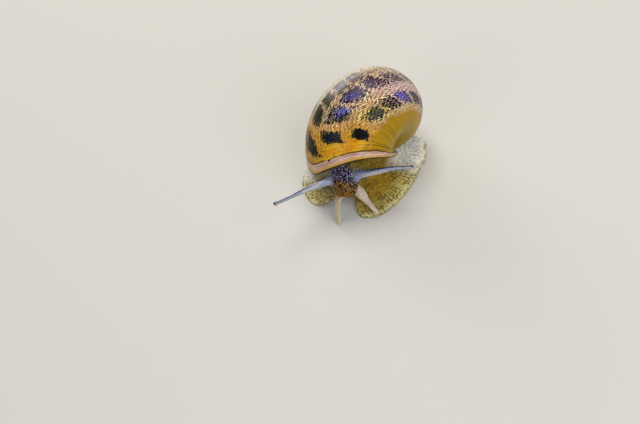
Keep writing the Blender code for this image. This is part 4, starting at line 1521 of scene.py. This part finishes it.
    @staticmethod
    def from_eye(spots: np.ndarray) -> np.ndarray:
        """Distance of each place from the nearer eye, in millimetres."""
        tips = [sum(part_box(f"eye_{side}"), Vector()) / (2.0 * MM) for side in ("left", "right")]
        return np.min([np.linalg.norm(spots - np.array(tip), axis=1) for tip in tips], axis=0)

    def soften(self, piece: bpy.types.Object) -> None:
        """Smooths away the facets of the solids, hardly at all on the thin feelers.

        Args:
            piece: The skin.
        """
        spots = places(piece)
        root = ease((self.from_eye(spots / MM) - 12.0) / 2.5)
        thin = self.labels["upper"] * (1.0 - 0.8 * root) + self.labels["lower"]
        share = 1.0 - 0.93 * np.clip(thin * 1.5, 0.0, 1.0)
        for _ in range(self.passes):
            even = np.stack([self.spread(piece, spots[:, axis], 1) for axis in range(3)], 1)
            spots = spots + (even - spots) * share[:, None]
        spots[:, 2] = np.maximum(spots[:, 2], 0.0)
        move_to(piece, spots)

    def foot_place(self, spots: np.ndarray) -> tuple[np.ndarray, np.ndarray]:
        """Where each place lies round the foot and how far from its middle line.

        Args:
            spots: Places in millimetres.

        Returns:
            A distance round the foot, measured near the rim, and the distance from the spine.
        """
        left, ahead = spots[:, 0], -spots[:, 1]
        spine = np.clip(ahead, self.spine_back, self.spine_front)
        away = np.hypot(left, ahead - spine)
        bend = np.arctan2(ahead - spine, np.abs(left) + 1e-9)
        along = spine + self.rim_radius * bend
        front = self.spine_front + self.rim_radius * 0.5 * math.pi
        return np.where(left > 0.0, along, 2.0 * front - along), away

    def rim_distance(self, spots: np.ndarray) -> tuple[np.ndarray, np.ndarray]:
        """Where each place lies against the rim of the foot.

        Args:
            spots: Places in millimetres.

        Returns:
            Distance round the foot and in from its rim, in millimetres.
        """
        solids = [n for n in self.nodes if n.startswith("foot") or n == "tail"]
        sole = np.concatenate([places(frame["nodes"][name]) for name in solids]) / MM
        sole = sole[sole[:, 2] < 0.01]
        round_sole, reach_sole = self.foot_place(sole)
        start, stop = round_sole.min(), round_sole.max()
        bins = np.linspace(start, stop, self.rim_steps + 1)
        slot = np.clip(np.digitize(round_sole, bins) - 1, 0, self.rim_steps - 1)
        reach = np.array([reach_sole[slot == k].max() if (slot == k).any() else np.nan
                          for k in range(self.rim_steps)])
        middles = (bins[:-1] + bins[1:]) / 2.0
        known = ~np.isnan(reach) & (reach > 3.0)
        around, away = self.foot_place(spots)
        return around, np.interp(around, middles[known], reach[known]) - away

    def mouth(self, spots: np.ndarray) -> np.ndarray:
        """How much each place lies in the shut mouth, a short crease below the muzzle.

        Args:
            spots: Places in millimetres.

        Returns:
            Shares from 0 to 1.
        """
        reach = spots - np.array(self.mouth_at)
        side = reach @ np.array(self.mouth_along)
        rise = reach @ np.array(self.mouth_rise)
        crease = ease(1.0 - np.abs(rise + 0.25 * side ** 2) / self.mouth_height)
        near = ease((2.2 - np.linalg.norm(reach, axis=1)) / 0.4)
        return crease * ease((self.mouth_half - np.abs(side)) / 0.5) * near

    @staticmethod
    def scallops(spots: np.ndarray, around: np.ndarray, inward: np.ndarray) -> np.ndarray:
        """How the rim of the foot swings out and in, most on its left behind the shell's lip.

        Args:
            spots: Places in millimetres.
            around: Distance round the foot.
            inward: Distance in from its rim.

        Returns:
            Heights in millimetres.
        """
        wave = ripple(Seed.SCALLOPS, around / 1.1, np.zeros(len(around))) - 0.5
        pleat = 0.5 + 1.1 * ease((spots[:, 1] + 1.0) / 4.0) * ease((spots[:, 0] - 6.0) / 3.0)
        return pleat * wave * ease(1.0 - inward / 1.8) * ease((spots[:, 2] - 0.1) / 0.3)

    def texture(self, piece: bpy.types.Object) -> None:
        """Raises cells on the foot and grains on the head and neck, and stores the pattern.

        Args:
            piece: The skin.
        """
        spots, out, labels = places(piece) / MM, normals(piece), self.labels
        around, inward = self.rim_distance(spots)
        inward = inward + 0.7 * np.maximum(spots[:, 2] - 1.0, 0.0)
        brick, tag = Bricks(Seed.FOOT_CELLS).shape(around / self.cell_width,
                                                   inward / self.cell_length)
        teeth, _ = Bricks(Seed.RIM_CELLS).shape(around / self.margin_cell,
                                                inward / self.margin_length)
        deep = ease((inward - 0.9) / 0.9)
        cell = brick * deep + teeth * (1.0 - deep)
        grain = ease(cells(spots / self.grain, Seed.GRAINS)[0] / 0.42)
        foot = np.clip(labels["foot"] + labels["tail"], 0.0, 1.0)
        low = ease((5.6 - spots[:, 2]) / 2.6)
        foot = np.maximum(foot, low * ease(labels["neck"] / 0.3))
        thin = np.clip(labels["upper"] + labels["lower"], 0.0, 1.0)
        height = self.cell_height * foot * (cell - 0.6) * (0.35 + 0.65 * deep)
        height += self.grain_height * (1.0 - foot) * (1.0 - thin) * (grain - 0.6)
        height += self.fine_height * thin * (grain - 0.6)
        height *= ease((spots[:, 2] - 0.15) / 0.3)
        height += self.scallops(spots, around, inward) * foot
        height = height * ease(1.0 + (out[:, 2] + 0.2) * 2.0) - self.mouth_depth * self.mouth(spots)
        move_to(piece, np.maximum((spots + out * height[:, None]) * MM, [[-9, -9, 0.0]]))
        plain = thin * (1.0 - foot)
        faint = soft_noise(spots / 1.7, Seed.SHADES)
        shade = 1.0 - (1.0 - cell) * (0.35 + 0.65 * ease((faint - 0.25) / 0.4))
        store(piece, "cell", np.clip(shade * (0.6 + 0.4 * tag), 0.0, 1.0) * foot + 0.6 * plain)
        store(piece, "granular", np.clip((1.0 - foot) * (1.0 - 0.75 * thin), 0.0, 1.0))
        self.paint(piece, spots, foot, inward)

    def paint(self, piece: bpy.types.Object, spots: np.ndarray, foot: np.ndarray,
              inward: np.ndarray) -> None:
        """Stores the colours of the grooves and of the raised cells and grains.

        Args:
            piece: The skin.
            spots: Places in millimetres.
            foot: How much each place belongs to the foot.
            inward: Distance in from the rim of the foot.
        """
        tones = Tones(len(spots), Flesh.PLAIN)
        self.paint_foot(tones, spots, foot, inward)
        self.paint_head(tones, spots, foot)
        self.paint_feelers(tones, spots, normals(piece))
        tones.store(piece.data)

    @staticmethod
    def paint_foot(tones: Tones, spots: np.ndarray, foot: np.ndarray, inward: np.ndarray) -> None:
        """Brushes the foot: olive and golden flanks, pale frills, small cells along the rim, and
        painted shade under the shell's lip.

        Args:
            tones: The skin's colours so far.
            spots: Places in millimetres.
            foot: How much each place belongs to the foot.
            inward: Distance in from the rim of the foot.
        """
        brush = tones.brush
        left, back, up = spots.T
        flank = foot * ease((inward - 1.8) / 4.5)
        brush(flank * ease((left + 1.0) / 4.0), Flesh.FLANK_LEFT)
        brush(0.45 * foot * ease((-9.0 - back) / 4.0) * ease(left / 3.0), Flesh.FRONT_LOBE)
        brush(flank * ease((-left - 1.0) / 4.0), Flesh.FLANK_RIGHT)
        brush(0.75 * foot * ease((back - 5.0) / 8.0), Flesh.TAIL)
        brush(ease((back + 3.0) / 7.0) * ease((left - 5.0) / 4.0) * foot, Flesh.FRILL_LEFT)
        brush(ease((-left - 8.0) / 3.0) * ease((back + 12.0) / 5.0) * foot, Flesh.FRILL_RIGHT)
        # Painted shade: the foot is darkened on its right side under the shell's lip, where the
        # shell's shadow falls.
        depth = 5.0 - 2.8 * ease((back + 10.2) / 2.5)
        painted_shade = ease((-left - 1.0) / 3.0) * ease((inward - depth) / 2.0) * ease((3.0 - back) / 6.0)
        brush(0.75 * foot * painted_shade, Flesh.UNDER_SHELL)
        teeth = ease((inward - 0.3) / 0.3) * ease((1.5 - inward) / 0.7)
        brush(0.6 * foot * teeth, Flesh.RIM_CELLS)
        brush(0.8 * foot * ease(1.0 - inward / 0.6), Flesh.RIM_EDGE)
        notch = ease((3.4 - np.abs(left - 0.8)) / 2.2) * ease((-8.0 - back) / 3.0)
        brush(foot * notch * ease((4.6 - up) / 1.5), Flesh.NOTCH)

    def paint_head(self, tones: Tones, spots: np.ndarray, foot: np.ndarray) -> None:
        """Brushes the neck and the mantle, dark flesh darkened further as painted shade under the
        shell's lip, then the head and the mouth.

        Args:
            tones: The skin's colours so far.
            spots: Places in millimetres.
            foot: How much each place belongs to the foot.
        """
        brush, labels = tones.brush, self.labels
        left, back, up = spots.T
        neck = np.clip(labels["neck"] + labels["mantle"], 0.0, 1.0) * (1.0 - foot)
        # The neck and mantle are dark brown, and darker still as painted shade under the shell's lip.
        brush(neck, Flesh.NECK)
        brush(labels["mantle"], Flesh.MANTLE)
        # The golden left side of the neck fades out toward the top, which stays dark as painted shade
        # under the lip.
        brush(neck * ease((left - 0.5) / 3.0) * ease((15.0 - up) / 3.5), Flesh.NECK_LEFT)
        head = labels["head"]
        nape = 0.78 * back + 0.60 * up
        brush(head, Flesh.HEAD)
        brush(head * ease((-6.2 - nape) / 1.8), Flesh.MUZZLE)
        brush(head * ease((-7.8 - nape) / 1.4), Flesh.MUZZLE_TIP)
        brush(head * ease((nape + 5.3) / 1.6), Flesh.NAPE)
        brush(self.mouth(spots), Flesh.MOUTH)

    def paint_feelers(self, tones: Tones, spots: np.ndarray, out: np.ndarray) -> None:
        """Brushes the feelers: blue-grey and striped above, pale lower ones with painted light at
        their sides and undersides, warm tips.

        Args:
            tones: The skin's colours so far.
            spots: Places in millimetres.
            out: The way the surface faces at each place.
        """
        brush, labels = tones.brush, self.labels
        left, away = spots[:, 0], self.from_eye(spots)
        upper = np.clip(labels["upper"] * 1.4, 0.0, 1.0)
        rear = out @ np.array((-0.17, 0.78, 0.60))  # 1 on the upper side of a raised feeler
        brush(upper, Flesh.FEELER)
        brush(upper * ease(rear / 0.4), Flesh.FEELER_BACK)
        brush(upper * ease((left - 2.0) / 3.0) * ease((rear + 0.3) / 0.5), Flesh.FEELER_LEFT)
        brush(upper * ease((10.0 - away) / 6.0), Flesh.FEELER_END)
        brush(upper * ease((away - 12.0) / 2.5), Flesh.FEELER_ROOT)
        stripe = ease((rear - 0.3) / 0.3) * ease((13.0 - away) / 5.0)
        brush(upper * stripe, Flesh.STRIPE)
        brush(upper * stripe * ease((left - 4.0) / 4.0), Flesh.STRIPE_LEFT)
        tip = upper * ease((2.2 - away) / 1.6) * ease((0.1 - rear) / 0.4)
        brush(tip, Flesh.TIP)
        brush(tip * ease((left - 4.0) / 3.0), Flesh.TIP_LEFT)
        lower = np.clip(labels["lower"] * 1.4, 0.0, 1.0)
        brush(lower, Flesh.LOWER)
        brush(lower * ease((left - 2.0) / 2.0), Flesh.LOWER_LEFT)
        fore = out @ np.array((0.15, -0.55, 0.82))  # 1 on the upper side of a lowered feeler
        # Painted light: the lower feelers are lighter at their sides and undersides, as if lit
        # through.
        brush(lower * ease((0.70 - fore) / 0.4), Flesh.LOWER_UNDER)


# --------------------------------------------------------------------------- the eyes
@dataclass(frozen=True)
class Eye:
    """One eye: a wet black bead, slightly flattened, set in the tip of an upper feeler."""

    node: str
    name: str
    flatness: float = 0.94  # its height for each unit of its width

    def build(self) -> bpy.types.Object:
        """Models the bead at the CAD eye's place and size.

        Returns:
            The eye.
        """
        low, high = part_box(self.node)
        middle = (low + high) / 2.0
        deselect()
        bpy.ops.mesh.primitive_uv_sphere_add(segments=28, ring_count=16,
                                             radius=(high - low).x / 2.0, location=middle)
        piece = bpy.context.object
        piece.name = piece.data.name = self.name
        apply_place()
        with editing():
            bpy.ops.transform.resize(value=(1.0, 1.0, self.flatness), center_override=tuple(middle))
        bpy.ops.object.shade_smooth()
        return piece


# --------------------------------------------------------------------------- the studio
@dataclass(frozen=True)
class Lamp:
    """One square soft lamp that faces the snail; its place and size are in metres."""

    name: str
    place: tuple[float, float, float]
    size: float
    power: float
    tint: str
    aim: tuple[float, float, float] = (0.0, 0.0, 0.01)

    def build(self) -> None:
        """Adds the lamp to the scene."""
        data = bpy.data.lights.new(self.name, "AREA")
        data.size, data.energy, data.color = self.size, self.power, linear(self.tint)[:3]
        lamp = bpy.data.objects.new(self.name, data)
        lamp.location = self.place
        way = Vector(self.aim) - Vector(self.place)
        lamp.rotation_euler = way.to_track_quat("-Z", "Y").to_euler()
        bpy.context.scene.collection.objects.link(lamp)


@dataclass
class Studio:
    """Pale paper floor, soft lamps and the camera."""

    azimuth: float = math.radians(38.0)
    elevation: float = math.radians(50.0)
    roll: float = math.radians(20.0)
    distance: float = 337.0  # of the camera from its aim, in millimetres
    aim_right: float = -11.92  # the aim from the origin, along the picture's sides
    aim_up: float = -12.73
    lens: float = 70.0
    sensor: float = 36.0
    nearest: float = 0.01  # what the camera sees, in metres
    farthest: float = 20.0
    floor_size: float = 4.0
    floor_gap: float = 0.00005  # how far the paper lies below the snail
    room_tint: str = "#EDEFF0"
    room_light: float = 0.15
    lamps: tuple[Lamp, ...] = (
        Lamp("key", (-0.05, 0.32, 0.74), 0.50, 5.4, "#FFF8EE"),
        Lamp("rim", (-0.62, 0.42, 0.30), 0.35, 2.0, "#FFFFFF"),
        Lamp("fill", (0.50, -0.26, 0.42), 0.5, 2.6, "#F8F8FC"),
        Lamp("front", (-0.20, -0.60, 0.36), 0.40, 0.8, "#FFFFFF"),
    )

    def camera(self) -> None:
        """Puts the camera above and ahead of the snail, rolled a little."""
        az, el = self.azimuth, self.elevation
        back = Vector((math.sin(az) * math.cos(el), -math.cos(az) * math.cos(el), math.sin(el)))
        level = Vector((math.cos(az), math.sin(az), 0.0))
        above = back.cross(level)
        right = level * math.cos(self.roll) - above * math.sin(self.roll)
        up = level * math.sin(self.roll) + above * math.cos(self.roll)
        spot = right * self.aim_right + up * self.aim_up + back * self.distance
        data = bpy.data.cameras.new("camera")
        data.lens, data.sensor_width = self.lens, self.sensor
        data.clip_start, data.clip_end = self.nearest, self.farthest
        lens = bpy.data.objects.new("camera", data)
        turn = Matrix((right, up, back)).transposed().to_4x4()
        lens.matrix_world = Matrix.Translation(spot * MM) @ turn
        bpy.context.scene.collection.objects.link(lens)
        bpy.context.scene.camera = lens

    def floor(self) -> bpy.types.Object:
        """Lays the paper floor.

        Returns:
            The floor.
        """
        deselect()
        place = (0.0, 0.0, -self.floor_gap)
        bpy.ops.mesh.primitive_plane_add(size=self.floor_size, location=place)
        ground = bpy.context.object
        ground.name = "floor"
        apply_place()
        ground.data.materials.append(StudioPaper().make())
        return ground

    def surroundings(self) -> None:
        """Lights the scene from all round, faintly."""
        world = bpy.data.worlds.new("pale_room")
        world.use_nodes = True
        background = world.node_tree.nodes["Background"]
        background.inputs[0].default_value = linear(self.room_tint)
        background.inputs[1].default_value = self.room_light
        bpy.context.scene.view_settings.view_transform = "Standard"
        bpy.context.scene.world = world

    def build(self) -> None:
        """Sets up the floor, the lamps, the pale surroundings and the camera."""
        self.floor()
        for lamp in self.lamps:
            lamp.build()
        self.surroundings()
        self.camera()


def dress(piece: bpy.types.Object, material: bpy.types.Material, slot: Slot,
          *nodes: str) -> None:
    """Gives a piece its material and ties it to the CAD model.

    Args:
        piece: The finished piece.
        material: What it is made of.
        slot: The record's slot for that finish; not used.
        nodes: The CAD nodes that it stands for.
    """
    piece.data.materials.clear()
    piece.data.materials.append(material)
    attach(piece, "root")
    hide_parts(*nodes)
    sides = sum(len(face.vertices) - 2 for face in piece.data.polygons)
    LOG.info("%s: %d triangles", piece.name, sides)


def main() -> None:
    """Builds the studio, the shell, the skin and the eyes, in that order."""
    Studio().build()
    dress(Shell().build(), GlazedLimeShell().make(), Slot.SHELL, "shell")
    flesh = tuple(sorted(n for n in frame["nodes"] if n != "shell" and not n.startswith("eye")))
    dress(Skin(flesh).build(), MoistSkin().make(), Slot.FOOT, *flesh)
    lens = EyeLens().make()
    for side in ("left", "right"):
        dress(Eye(f"eye_{side}", f"eye_bead_{side}").build(), lens, Slot.EYE, f"eye_{side}")


if __name__ == "__main__":
    main()
